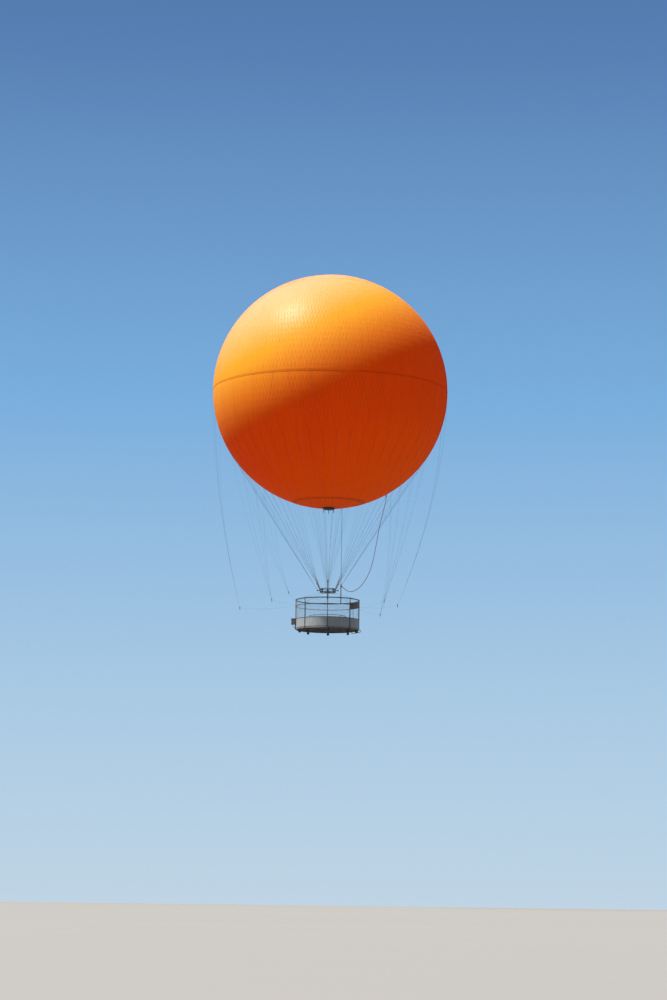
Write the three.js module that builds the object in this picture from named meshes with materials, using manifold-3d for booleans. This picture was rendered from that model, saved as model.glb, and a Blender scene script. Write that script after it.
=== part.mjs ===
// Tethered helium balloon for passengers: a round envelope, its suspension lines, a load ring
// with the tether swivel, and a ring-shaped gondola on casters.
// Millimetres, +Z up. The origin is the centre of the envelope, and every height below is
// measured from it. Azimuths are in degrees, from the front (-Y) towards the right side (+X).

import * as THREE from 'three';
import { mergeVertices } from 'three/addons/utils/BufferGeometryUtils.js';
import Module from 'manifold-3d';

const wasm = await Module();
wasm.setup();

// Running gap between pieces that touch
const SEAT = 0.4;

// Envelope
const ENVELOPE_RADIUS = 11000;
const ENVELOPE_WALL = 10;
const ENVELOPE_GORES = 48;
const EQUATOR_BAND = { height: 130, thickness: 16 };
const CROWN = { opening: 450, plate: 600, thickness: 24, boss: 60, bossHeight: 105 };
const PATCH = { radius: 3020, thickness: 6 };
const VALVE = { opening: 480, flangeInner: 380, flangeOuter: 570, flangeThickness: 30 };
const VALVE_BODY = { radius: 545, depth: 150, legs: 4, legCircle: 470, legRadius: 28, legLength: 300 };

// Suspension lines, in fans that each end in a strap and a shackle
const FANS = 8;
const LINES_PER_FAN = 6;
const LINE_WIDTH = 20;
const LINE_PITCH = 23;
const YOKE = { width: 165, thickness: 36, half: 50 };
const STRAP = { topRadius: 1413, topHeight: -18037, width: 130, thickness: 14 };
const SHACKLE = { inner: 900, outer: 990, width: 110, low: -18865, high: -18705 };

// Load ring and tether swivel
const LOAD_RING = { radius: 700, tube: 32, top: -18640, bottom: -18940, segments: 24 };
const RING_PLATE = { width: 130, thickness: 24 };
const RING_LUG = { width: 70, height: 60, middle: -18785 };
const RING_HUB = { radius: 95, high: -18895, low: -19000, armWidth: 60, armHeight: 50, arms: 4 };
const SOCKET = { flange: 80, neck: 42, barrel: 60, flangeLow: -19040, neckLow: -19170, low: -19600 };
const HANGER = { width: 44, height: 60, reach: 35, rope: 9 };

// Gondola: heights first, then radii
const TOP_RING = { high: -19670, low: -19730, inner: 2920, outer: 2980 };
const MID_RAIL = { high: -20270, low: -20310, inner: 2926, outer: 2965 };
const RIM_RAIL = { high: -21480, low: -21520, inner: 2884, outer: 2936 };
const DECK_TOP = -22330;
const DECK_PLATE = 30;
const BASE_BOTTOM = -22480;
const CLAD_RADIUS = 2920;
const CLAD_WALL = 30;
const GONDOLA_SEGMENTS = 32;
const POSTS = 8;
const POST = { width: 50, depth: 50 };
const WELL = { inner: 1650, rim: 40, rimDepth: 120 };
const JOIST = { count: 16, width: 60, casterWidth: 140, depth: 60 };
const INNER_RAIL = { quarters: 4, radius: 1700, half: 20, post: 34, top: -21160, middle: -21760, low: -22240 };

// Gate, in the octant between the posts at 90 and 135 degrees
const GATE = { from: 101.25, to: 123.75, freeEdge: 101.65, hingeEdge: 123.5, low: -22300, high: -21565 };
const HINGE = { radius: 2876, azimuth: 123.2, barrel: 14, bracketLow: -21555, bracketHigh: -21538 };
const HEADER = { inner: 2932, outer: 2952, from: 90.8, to: 134.2 };
const STEP = { radius: 3100, height: -22570, tube: 40, from: 93, to: 132, spans: 4 };
const EQUIPMENT = { azimuth: 270, width: 520, depth: 380, high: -21430, low: -21990, gusset: -22400 };

// Casters
const CASTERS = 8;
const CASTER = { circle: 2630, trail: 70, wheelRadius: 125, axleHeight: -22612, heading: 90 };
const FORK = { stem: 42, crownHigh: -22458, crownLow: -22472, half: 40, cheek: 9, axleLow: -22645 };
const WHEEL = { half: 25, shoulder: 15, chamfer: 11, bore: 13, pin: 12.2, sides: 16 };

// Service hose and control line, on the far right of the gondola
const HOSE = { radius: 30, sides: 8, steps: 64, facetAzimuth: 108.75 };
const HOSE_FLANGE = { radius: 170, thickness: 36, nozzle: 48, drop: 250 };
const CONTROL = { facetAzimuth: 153.75, inset: 0.15, upper: 10, lower: 28, foot: 140 };
const SLEEVE = { x: 1240, y: 2680, height: -18000, radius: 55, half: 130, stub: 210, stubRadius: 44 };

const finishes = {
  envelope: new THREE.MeshStandardMaterial({ color: 0xf09a24, roughness: 0.5, metalness: 0 }),
  seam: new THREE.MeshStandardMaterial({ color: 0x9a4a12, roughness: 0.7, metalness: 0 }),
  rope: new THREE.MeshStandardMaterial({ color: 0x39424e, roughness: 0.8, metalness: 0 }),
  ringSteel: new THREE.MeshStandardMaterial({ color: 0x8f979e, roughness: 0.4, metalness: 0.8 }),
  darkSteel: new THREE.MeshStandardMaterial({ color: 0x3a4450, roughness: 0.5, metalness: 0.6 }),
  cladding: new THREE.MeshStandardMaterial({ color: 0xa9b0b0, roughness: 0.45, metalness: 0.6 }),
  deck: new THREE.MeshStandardMaterial({ color: 0x5a524a, roughness: 0.8, metalness: 0.1 }),
  brownPanel: new THREE.MeshStandardMaterial({ color: 0x4a3a38, roughness: 0.6, metalness: 0 }),
  blackPlastic: new THREE.MeshStandardMaterial({ color: 0x17191c, roughness: 0.6, metalness: 0 }),
  tyre: new THREE.MeshStandardMaterial({ color: 0x111214, roughness: 0.9, metalness: 0 }),
};

const rad = THREE.MathUtils.degToRad;
const deg = THREE.MathUtils.radToDeg;
const UP = new THREE.Vector3(0, 0, 1);

function polar(radius, azimuth, z) {
  return new THREE.Vector3(radius * Math.sin(rad(azimuth)), -radius * Math.cos(rad(azimuth)), z);
}

// A point on a sphere about the envelope's centre, latitude in degrees below the equator
function onSphere(radius, azimuth, latitude) {
  return polar(radius * Math.cos(rad(latitude)), azimuth, -radius * Math.sin(rad(latitude)));
}

// Numbers from first to last in equal steps, without the last
function steps(first, last, count) {
  return Array.from({ length: count }, (_, i) => first + ((last - first) * i) / count);
}

function spread(count, start = 0) {
  return steps(start, start + 360, count);
}

function signedVolume(positions, triangles) {
  const [a, b, c] = [new THREE.Vector3(), new THREE.Vector3(), new THREE.Vector3()];
  let volume = 0;
  for (let i = 0; i < triangles.length; i += 3) {
    a.fromArray(positions, triangles[i] * 3);
    b.fromArray(positions, triangles[i + 1] * 3);
    c.fromArray(positions, triangles[i + 2] * 3);
    volume += a.dot(b.cross(c)) / 6;
  }
  return volume;
}

// A closed three.js geometry as a solid, with its doubled points merged and its faces outwards
function solid(geometry) {
  const bare = geometry.clone();
  bare.deleteAttribute('normal');
  bare.deleteAttribute('uv');
  const merged = mergeVertices(bare, 1e-3);
  const source = merged.index.array;
  const triangles = [];
  for (let i = 0; i < source.length; i += 3) {
    const [p, q, r] = [source[i], source[i + 1], source[i + 2]];
    if (p !== q && q !== r && r !== p) triangles.push(p, q, r);
  }
  const positions = merged.attributes.position.array;
  if (signedVolume(positions, triangles) < 0) triangles.reverse();
  return new wasm.Manifold(new wasm.Mesh({
    numProp: 3,
    vertProperties: new Float32Array(positions),
    triVerts: new Uint32Array(triangles),
  }));
}

function joined(...geometries) {
  return geometries.map(solid).reduce((whole, next) => whole.add(next));
}

function mesh(name, body, material) {
  const raw = body.getMesh();
  const geometry = new THREE.BufferGeometry();
  geometry.setAttribute('position', new THREE.BufferAttribute(new Float32Array(raw.vertProperties), 3));
  geometry.setIndex(new THREE.BufferAttribute(new Uint32Array(raw.triVerts), 1));
  geometry.computeVertexNormals();
  const made = new THREE.Mesh(geometry, material);
  made.name = name;
  return made;
}

// A profile of [radius, height] pairs turned about Z, on the axis or closed on itself
function turned(profile, segments) {
  const points = profile.map(([radius, z]) => new THREE.Vector2(radius, z));
  if (profile[0][0] > 0) points.push(points[0].clone());
  return new THREE.LatheGeometry(points, segments).rotateX(Math.PI / 2);
}

function hoop(inner, outer, low, high, segments) {
  return turned([[inner, low], [outer, low], [outer, high], [inner, high]], segments);
}

// A ring of round tube, its section a polygon with a flat at the top and the bottom
function tubeHoop(radius, tube, height, segments, sides = 6) {
  const section = spread(sides).map((angle) => [
    radius + tube * Math.cos(rad(angle)),
    height + tube * Math.sin(rad(angle)),
  ]);
  return turned(section, segments);
}

// A curved wall between two azimuths, standing on a plane
function arcWall(inner, outer, low, high, from, to, segments) {
  const outline = new THREE.Shape();
  outline.absarc(0, 0, outer, rad(from - 90), rad(to - 90), false);
  outline.absarc(0, 0, inner, rad(to - 90), rad(from - 90), true);
  const wall = new THREE.ExtrudeGeometry(outline, {
    depth: high - low,
    bevelEnabled: false,
    curveSegments: segments / 2,
  });
  return wall.translate(0, 0, low);
}

// A rectangular bar from start to end, its depth measured along up
function bar(start, end, width, depth, up = UP) {
  const along = end.clone().sub(start);
  const length = along.length();
  const x = along.normalize();
  const y = up.clone().cross(x).normalize();
  const z = x.clone().cross(y);
  const frame = new THREE.Matrix4().makeBasis(x, y, z);
  frame.setPosition(start.clone().add(end).multiplyScalar(0.5));
  return new THREE.BoxGeometry(length, width, depth).applyMatrix4(frame);
}

function rod(start, end, radius, sides = 8) {
  const along = end.clone().sub(start);
  const turn = new THREE.Quaternion().setFromUnitVectors(
    new THREE.Vector3(0, 1, 0), along.clone().normalize());
  const middle = start.clone().add(end).multiplyScalar(0.5);
  return new THREE.CylinderGeometry(radius, radius, along.length(), sides)
    .applyQuaternion(turn)
    .translate(middle.x, middle.y, middle.z);
}

// A block whose faces lie at given radii and heights, centred on an azimuth
function radialBlock(inner, outer, width, low, high, azimuth) {
  const middle = polar((inner + outer) / 2, azimuth, (low + high) / 2);
  return new THREE.BoxGeometry(width, outer - inner, high - low)
    .rotateZ(rad(azimuth))
    .translate(middle.x, middle.y, middle.z);
}

function moved(geometry, dz) {
  return geometry.translate(0, 0, dz);
}

// Latitudes of the lower envelope's rings, in degrees below the equator
const strapTopDistance = Math.hypot(STRAP.topRadius, STRAP.topHeight);
const tangentLatitude = deg(Math.asin(ENVELOPE_RADIUS / strapTopDistance)
  - Math.atan2(STRAP.topRadius, -STRAP.topHeight));
const patchLatitude = deg(Math.acos(PATCH.radius / ENVELOPE_RADIUS));
const valveLatitude = deg(Math.acos(VALVE.opening / ENVELOPE_RADIUS));
const crownLatitude = deg(Math.acos(CROWN.opening / ENVELOPE_RADIUS));
const sidePanels = steps(tangentLatitude, patchLatitude, 4);
const patchRings = [...steps(patchLatitude, valveLatitude, 2), valveLatitude];
const lowerRings = [...steps(0, tangentLatitude, 4), ...sidePanels, ...patchRings];
const upperRings = [...steps(0, crownLatitude, 10), crownLatitude];

// A wall of given thickness inside a sphere, over a list of latitudes; below is -1 or 1
function domeWall(outerRadius, thickness, latitudes, below) {
  const edge = (radius) => latitudes.map((latitude) => [
    radius * Math.cos(rad(latitude)),
    below * Math.max(radius * Math.sin(rad(latitude)), SEAT / 2),
  ]);
  return turned([...edge(outerRadius), ...edge(outerRadius - thickness).reverse()], ENVELOPE_GORES);
}

// A spot on one flat facet of the envelope, with the facet's outward normal
function facetSpot(radius, azimuth, upperLatitude, lowerLatitude, fraction) {
  const half = 180 / ENVELOPE_GORES;
  const corner = (side, latitude) => onSphere(radius, azimuth + side * half, latitude);
  const [a, b] = [corner(-1, upperLatitude), corner(1, upperLatitude)];
  const [c, d] = [corner(-1, lowerLatitude), corner(1, lowerLatitude)];
  const high = a.clone().add(b).multiplyScalar(0.5);
  const low = c.clone().add(d).multiplyScalar(0.5);
  const normal = b.clone().sub(a).cross(low.clone().sub(high)).normalize();
  const spot = high.lerp(low, fraction);
  if (normal.dot(spot) < 0) normal.negate();
  return { spot, normal };
}

function envelope() {
  const group = new THREE.Group();
  const upper = solid(domeWall(ENVELOPE_RADIUS, ENVELOPE_WALL, upperRings, 1));
  const lower = solid(domeWall(ENVELOPE_RADIUS, ENVELOPE_WALL, lowerRings, -1));
  const bandInner = ENVELOPE_RADIUS + SEAT;
  const band = solid(hoop(bandInner, bandInner + EQUATOR_BAND.thickness,
    -EQUATOR_BAND.height / 2, EQUATOR_BAND.height / 2, ENVELOPE_GORES));
  const patchOuter = ENVELOPE_RADIUS + SEAT + PATCH.thickness;
  const patch = solid(domeWall(patchOuter, PATCH.thickness, patchRings, -1));

  const crownLow = ENVELOPE_RADIUS * Math.sin(rad(crownLatitude)) + SEAT;
  const crownHigh = crownLow + CROWN.thickness;
  const crown = solid(turned([
    [0, crownLow], [CROWN.plate, crownLow], [CROWN.plate, crownHigh],
    [CROWN.boss, crownHigh], [CROWN.boss, crownHigh + CROWN.bossHeight], [0, crownHigh + CROWN.bossHeight],
  ], 32));

  const flangeHigh = -patchOuter * Math.sin(rad(valveLatitude)) - SEAT;
  const flangeLow = flangeHigh - VALVE.flangeThickness;
  const flange = solid(hoop(VALVE.flangeInner, VALVE.flangeOuter, flangeLow, flangeHigh, 32));
  const bodyHigh = flangeLow - SEAT;
  const bodyLow = bodyHigh - VALVE_BODY.depth;
  const legs = spread(VALVE_BODY.legs).map((azimuth) => rod(
    polar(VALVE_BODY.legCircle, azimuth, bodyLow + 10),
    polar(VALVE_BODY.legCircle, azimuth, bodyLow - VALVE_BODY.legLength), VALVE_BODY.legRadius));
  const body = joined(turned([[0, bodyLow], [VALVE_BODY.radius - 40, bodyLow],
    [VALVE_BODY.radius, bodyLow + 40], [VALVE_BODY.radius, bodyHigh], [0, bodyHigh]], 32), ...legs);

  group.add(
    mesh('envelope_upper', upper, finishes.envelope),
    mesh('envelope_lower', lower, finishes.envelope),
    mesh('equator_band', band, finishes.seam),
    mesh('lower_patch', patch, finishes.envelope),
    mesh('crown_plate', crown, finishes.ringSteel),
    mesh('valve_flange', flange, finishes.blackPlastic),
    mesh('valve_body', body, finishes.blackPlastic),
  );
  return group;
}

// One fan: lines from the envelope's tangent circle down to a flat strap and its shackle
function suspensionFan(index) {
  const azimuth = (index * 360) / FANS;
  const side = new THREE.Vector3(Math.cos(rad(azimuth)), Math.sin(rad(azimuth)), 0);
  const strapTop = polar(STRAP.topRadius, azimuth, STRAP.topHeight);
  const shackleMiddle = polar((SHACKLE.inner + SHACKLE.outer) / 2 + SEAT, azimuth,
    (SHACKLE.low + SHACKLE.high) / 2);
  const down = shackleMiddle.clone().sub(strapTop).normalize();
  const strapNormal = side.clone().cross(down);
  const lines = Array.from({ length: LINES_PER_FAN }, (_, k) => {
    const place = k - (LINES_PER_FAN - 1) / 2;
    const spot = onSphere(ENVELOPE_RADIUS, azimuth + (place * 360) / ENVELOPE_GORES, tangentLatitude);
    const normal = spot.clone().normalize();
    const start = spot.addScaledVector(normal, LINE_WIDTH / 2 + SEAT);
    const end = strapTop.clone().addScaledVector(side, place * LINE_PITCH);
    return bar(start, end, LINE_WIDTH, LINE_WIDTH, normal);
  });
  const strap = bar(strapTop, shackleMiddle, STRAP.width, STRAP.thickness, strapNormal);
  const shackle = radialBlock(SHACKLE.inner + SEAT, SHACKLE.outer + SEAT, SHACKLE.width,
    SHACKLE.low, SHACKLE.high, azimuth);
  const yoke = bar(strapTop.clone().addScaledVector(down, -YOKE.half),
    strapTop.clone().addScaledVector(down, YOKE.half), YOKE.width, YOKE.thickness, strapNormal);
  const pieces = [yoke, strap, shackle, ...lines].map((piece) => moved(piece, -RING_LUG.middle));
  return mesh(`suspension_fan_${index + 1}`, joined(...pieces), finishes.rope);
}

// The load ring: two tube hoops, the plates and lugs that join them, and the arms of its hub
function loadRing() {
  const hoops = [LOAD_RING.top, LOAD_RING.bottom].map((height) => tubeHoop(
    LOAD_RING.radius, LOAD_RING.tube, height, LOAD_RING.segments));
  const plates = spread(FANS).map((azimuth) => radialBlock(
    LOAD_RING.radius - RING_PLATE.thickness / 2, LOAD_RING.radius + RING_PLATE.thickness / 2,
    RING_PLATE.width, LOAD_RING.bottom, LOAD_RING.top, azimuth));
  const lugs = spread(FANS).map((azimuth) => radialBlock(
    LOAD_RING.radius, SHACKLE.inner, RING_LUG.width,
    RING_LUG.middle - RING_LUG.height / 2, RING_LUG.middle + RING_LUG.height / 2, azimuth));
  const arms = spread(RING_HUB.arms, 45).map((azimuth) => bar(
    polar(RING_HUB.radius / 2, azimuth, LOAD_RING.bottom),
    polar(LOAD_RING.radius, azimuth, LOAD_RING.bottom),
    RING_HUB.armWidth, RING_HUB.armHeight));
  const hub = turned([[0, RING_HUB.low], [RING_HUB.radius, RING_HUB.low],
    [RING_HUB.radius, RING_HUB.high], [0, RING_HUB.high]], 16);
  const pieces = [...hoops, ...plates, ...lugs, ...arms, hub];
  const placed = pieces.map((piece) => moved(piece, -RING_LUG.middle));
  return mesh('load_ring', joined(...placed), finishes.ringSteel);
}

// The part of the swivel that turns with the tether
function tetherSocket() {
  const high = RING_HUB.low - SEAT;
  const profile = [[0, SOCKET.low], [SOCKET.barrel, SOCKET.low], [SOCKET.barrel, SOCKET.neckLow],
    [SOCKET.neck, SOCKET.neckLow + 30], [SOCKET.neck, SOCKET.flangeLow], [SOCKET.flange, SOCKET.flangeLow],
    [SOCKET.flange, high], [0, high]];
  return mesh('tether_socket', solid(moved(turned(profile, 16), -RING_LUG.middle)), finishes.darkSteel);
}

// A stay from the load ring's lower hoop to the gondola's top ring
function hanger(index) {
  const azimuth = (index * 360) / POSTS;
  const { width, height, reach, rope } = HANGER;
  const hoopFlat = LOAD_RING.bottom - LOAD_RING.tube * Math.sin(rad(60)) - SEAT;
  const seatHeight = TOP_RING.high + SEAT;
  const upperEnd = radialBlock(LOAD_RING.radius - reach, LOAD_RING.radius + reach, width,
    hoopFlat - height, hoopFlat, azimuth);
  const lowerEnd = radialBlock(TOP_RING.inner, TOP_RING.outer, width,
    seatHeight, seatHeight + height, azimuth);
  const stay = rod(polar(LOAD_RING.radius, azimuth, hoopFlat - height / 2),
    polar((TOP_RING.inner + TOP_RING.outer) / 2, azimuth, seatHeight + height / 2), rope, 6);
  const pieces = [upperEnd, lowerEnd, stay].map((piece) => moved(piece, -RING_LUG.middle));
  return mesh(`gondola_hanger_${index + 1}`, joined(...pieces), finishes.ringSteel);
}

function suspension() {
  const group = new THREE.Group();
  group.position.z = RING_LUG.middle;
  group.add(loadRing(), tetherSocket());
  for (let i = 0; i < FANS; i += 1) group.add(suspensionFan(i));
  for (let i = 0; i < POSTS; i += 1) group.add(hanger(i));
  return group;
}

// Heights inside the gondola's own group are measured from the deck's top
const level = (height) => height - DECK_TOP;

function gondolaDeck() {
  const outerRim = CLAD_RADIUS - 40;
  const plate = hoop(WELL.inner + 10, outerRim + 20, -DECK_PLATE, 0, GONDOLA_SEGMENTS);
  const outer = hoop(outerRim, CLAD_RADIUS, level(BASE_BOTTOM), 0, GONDOLA_SEGMENTS);
  const inner = hoop(WELL.inner, WELL.inner + WELL.rim, -WELL.rimDepth, 0, GONDOLA_SEGMENTS);
  const joists = spread(JOIST.count).map((azimuth, i) => radialBlock(
    WELL.inner + WELL.rim / 2, outerRim + 15, i % 2 ? JOIST.width : JOIST.casterWidth,
    -DECK_PLATE - JOIST.depth, -DECK_PLATE + 5, azimuth));
  return mesh('gondola_deck', joined(plate, outer, inner, ...joists), finishes.deck);
}

const openArcSegments = Math.round(((360 - (GATE.to - GATE.from)) / 360) * GONDOLA_SEGMENTS);

function parapet() {
  const wall = arcWall(CLAD_RADIUS - CLAD_WALL, CLAD_RADIUS, SEAT, level(RIM_RAIL.low) - SEAT,
    GATE.to, GATE.from + 360, openArcSegments);
  const bracket = radialBlock(HINGE.radius - 22, CLAD_RADIUS - CLAD_WALL / 2, 190,
    level(HINGE.bracketLow), level(HINGE.bracketHigh), HINGE.azimuth + 1.2);
  return mesh('parapet', joined(wall, bracket), finishes.cladding);
}

// Posts with the mid rail and the parapet's rim rail
function cage() {
  const postInner = CLAD_RADIUS + SEAT;
  const posts = spread(POSTS).map((azimuth) => radialBlock(postInner, postInner + POST.depth, POST.width,
    level(BASE_BOTTOM), level(TOP_RING.low) - SEAT, azimuth));
  const middle = hoop(MID_RAIL.inner, MID_RAIL.outer, level(MID_RAIL.low), level(MID_RAIL.high),
    GONDOLA_SEGMENTS);
  const rim = arcWall(RIM_RAIL.inner, RIM_RAIL.outer, level(RIM_RAIL.low), level(RIM_RAIL.high),
    GATE.to, GATE.from + 360, openArcSegments);
  return mesh('cage_frame', joined(middle, rim, ...posts), finishes.darkSteel);
}

// A quarter of the rail round the tether well: three curved rails on two posts. Each quarter
// ends against the side of the next one's first post.
function innerRail(index) {
  const { radius, half, post } = INNER_RAIL;
  const from = index * 90 - deg(post / 2 / radius);
  const to = from + 90 - deg(SEAT / radius);
  const rails = [INNER_RAIL.top, INNER_RAIL.middle, INNER_RAIL.low].map((height) => arcWall(
    radius - half, radius + half, level(height) - 2 * half, level(height), from, to, GONDOLA_SEGMENTS / 4));
  const posts = [0, 45].map((offset) => radialBlock(radius - post / 2, radius + post / 2, post,
    SEAT, level(INNER_RAIL.top) - half, index * 90 + offset));
  return mesh(`inner_rail_${index + 1}`, joined(...rails, ...posts), finishes.darkSteel);
}

function gateLeaf() {
  const leaf = arcWall(CLAD_RADIUS - CLAD_WALL, CLAD_RADIUS, level(GATE.low), level(GATE.high),
    GATE.freeEdge, GATE.hingeEdge, 2);
  const barrel = rod(polar(HINGE.radius, HINGE.azimuth, SEAT),
    polar(HINGE.radius, HINGE.azimuth, level(HINGE.bracketLow) - SEAT), HINGE.barrel);
  return mesh('gate_leaf', joined(leaf, barrel), finishes.cladding);
}

function gateHeader() {
  const panel = arcWall(HEADER.inner, HEADER.outer, level(MID_RAIL.high) + SEAT,
    level(TOP_RING.low) - SEAT, HEADER.from, HEADER.to, 4);
  return mesh('gate_header', solid(panel), finishes.brownPanel);
}

function boardingStep() {
  const corners = [...steps(STEP.from, STEP.to, STEP.spans), STEP.to];
  const height = level(STEP.height);
  const treads = corners.slice(1).map((azimuth, i) => bar(polar(STEP.radius, corners[i] - 0.3, height),
    polar(STEP.radius, azimuth + 0.3, height), STEP.tube, STEP.tube));
  const brackets = [corners[0], corners[2], corners[4]].map((azimuth) => [
    bar(polar(CLAD_RADIUS + SEAT, azimuth, level(BASE_BOTTOM) + 50),
      polar(STEP.radius + STEP.tube / 2, azimuth, level(BASE_BOTTOM) + 50), 30, 30),
    bar(polar(STEP.radius, azimuth, level(BASE_BOTTOM) + 60), polar(STEP.radius, azimuth, height), 30, 30,
      new THREE.Vector3(0, 1, 0)),
  ]).flat();
  return mesh('boarding_step', joined(...treads, ...brackets), finishes.darkSteel);
}

function equipmentBox() {
  const inner = CLAD_RADIUS + 2 * SEAT + POST.depth;
  const outer = inner + EQUIPMENT.depth;
  const box = radialBlock(inner, outer, EQUIPMENT.width, level(EQUIPMENT.low), level(EQUIPMENT.high),
    EQUIPMENT.azimuth);
  const back = radialBlock(inner, inner + 30, 120, level(EQUIPMENT.gusset), level(EQUIPMENT.low) + 10,
    EQUIPMENT.azimuth);
  const brace = bar(polar(inner + 26, EQUIPMENT.azimuth, level(EQUIPMENT.gusset) + 30),
    polar(outer - 60, EQUIPMENT.azimuth, level(EQUIPMENT.low) + 5), 60, 30);
  return mesh('equipment_box', joined(box, back, brace), finishes.blackPlastic);
}

function casterFork(index) {
  const stemHigh = -DECK_PLATE - JOIST.depth - SEAT;
  const ahead = CASTER.trail;
  const stem = rod(new THREE.Vector3(0, 0, level(FORK.crownHigh) - 5), new THREE.Vector3(0, 0, stemHigh),
    FORK.stem, 8);
  const crown = new THREE.BoxGeometry(ahead + 90, 2 * FORK.half, FORK.crownHigh - FORK.crownLow)
    .translate(ahead / 2, 0, level((FORK.crownHigh + FORK.crownLow) / 2));
  const cheekHigh = FORK.crownHigh - 4;
  const cheeks = [-1, 1].map((side) => new THREE.BoxGeometry(56, FORK.cheek, cheekHigh - FORK.axleLow)
    .translate(ahead, side * (FORK.half - FORK.cheek / 2), level((cheekHigh + FORK.axleLow) / 2)));
  const axle = level(CASTER.axleHeight);
  const pin = rod(new THREE.Vector3(ahead, -FORK.half + 2, axle),
    new THREE.Vector3(ahead, FORK.half - 2, axle), WHEEL.pin, WHEEL.sides);
  return mesh(`caster_fork_${index + 1}`, joined(stem, crown, ...cheeks, pin), finishes.darkSteel);
}

function casterWheel(index) {
  const { half, shoulder, chamfer, bore, sides } = WHEEL;
  const rim = CASTER.wheelRadius;
  const profile = [[bore, -half], [rim - chamfer, -half], [rim, -shoulder], [rim, shoulder],
    [rim - chamfer, half], [bore, half]];
  const tyre = turned(profile, sides).rotateX(Math.PI / 2);
  tyre.translate(CASTER.trail, 0, level(CASTER.axleHeight));
  return mesh(`caster_wheel_${index + 1}`, solid(tyre), finishes.tyre);
}

// A caster trails towards +X, as it hangs in the wind
function caster(index) {
  const group = new THREE.Group();
  const place = polar(CASTER.circle, (index * 360) / CASTERS, 0);
  group.position.copy(place);
  group.rotation.z = rad(CASTER.heading - 90);
  group.add(casterFork(index), casterWheel(index));
  return group;
}

function gondola() {
  const group = new THREE.Group();
  group.position.z = DECK_TOP;
  const topRing = solid(hoop(TOP_RING.inner, TOP_RING.outer, level(TOP_RING.low), level(TOP_RING.high),
    GONDOLA_SEGMENTS));
  group.add(
    gondolaDeck(), parapet(), cage(), mesh('cage_top_ring', topRing, finishes.darkSteel),
    gateLeaf(), gateHeader(), boardingStep(), equipmentBox(),
  );
  for (let i = 0; i < INNER_RAIL.quarters; i += 1) group.add(innerRail(i));
  for (let i = 0; i < CASTERS; i += 1) group.add(caster(i));
  return group;
}

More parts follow.
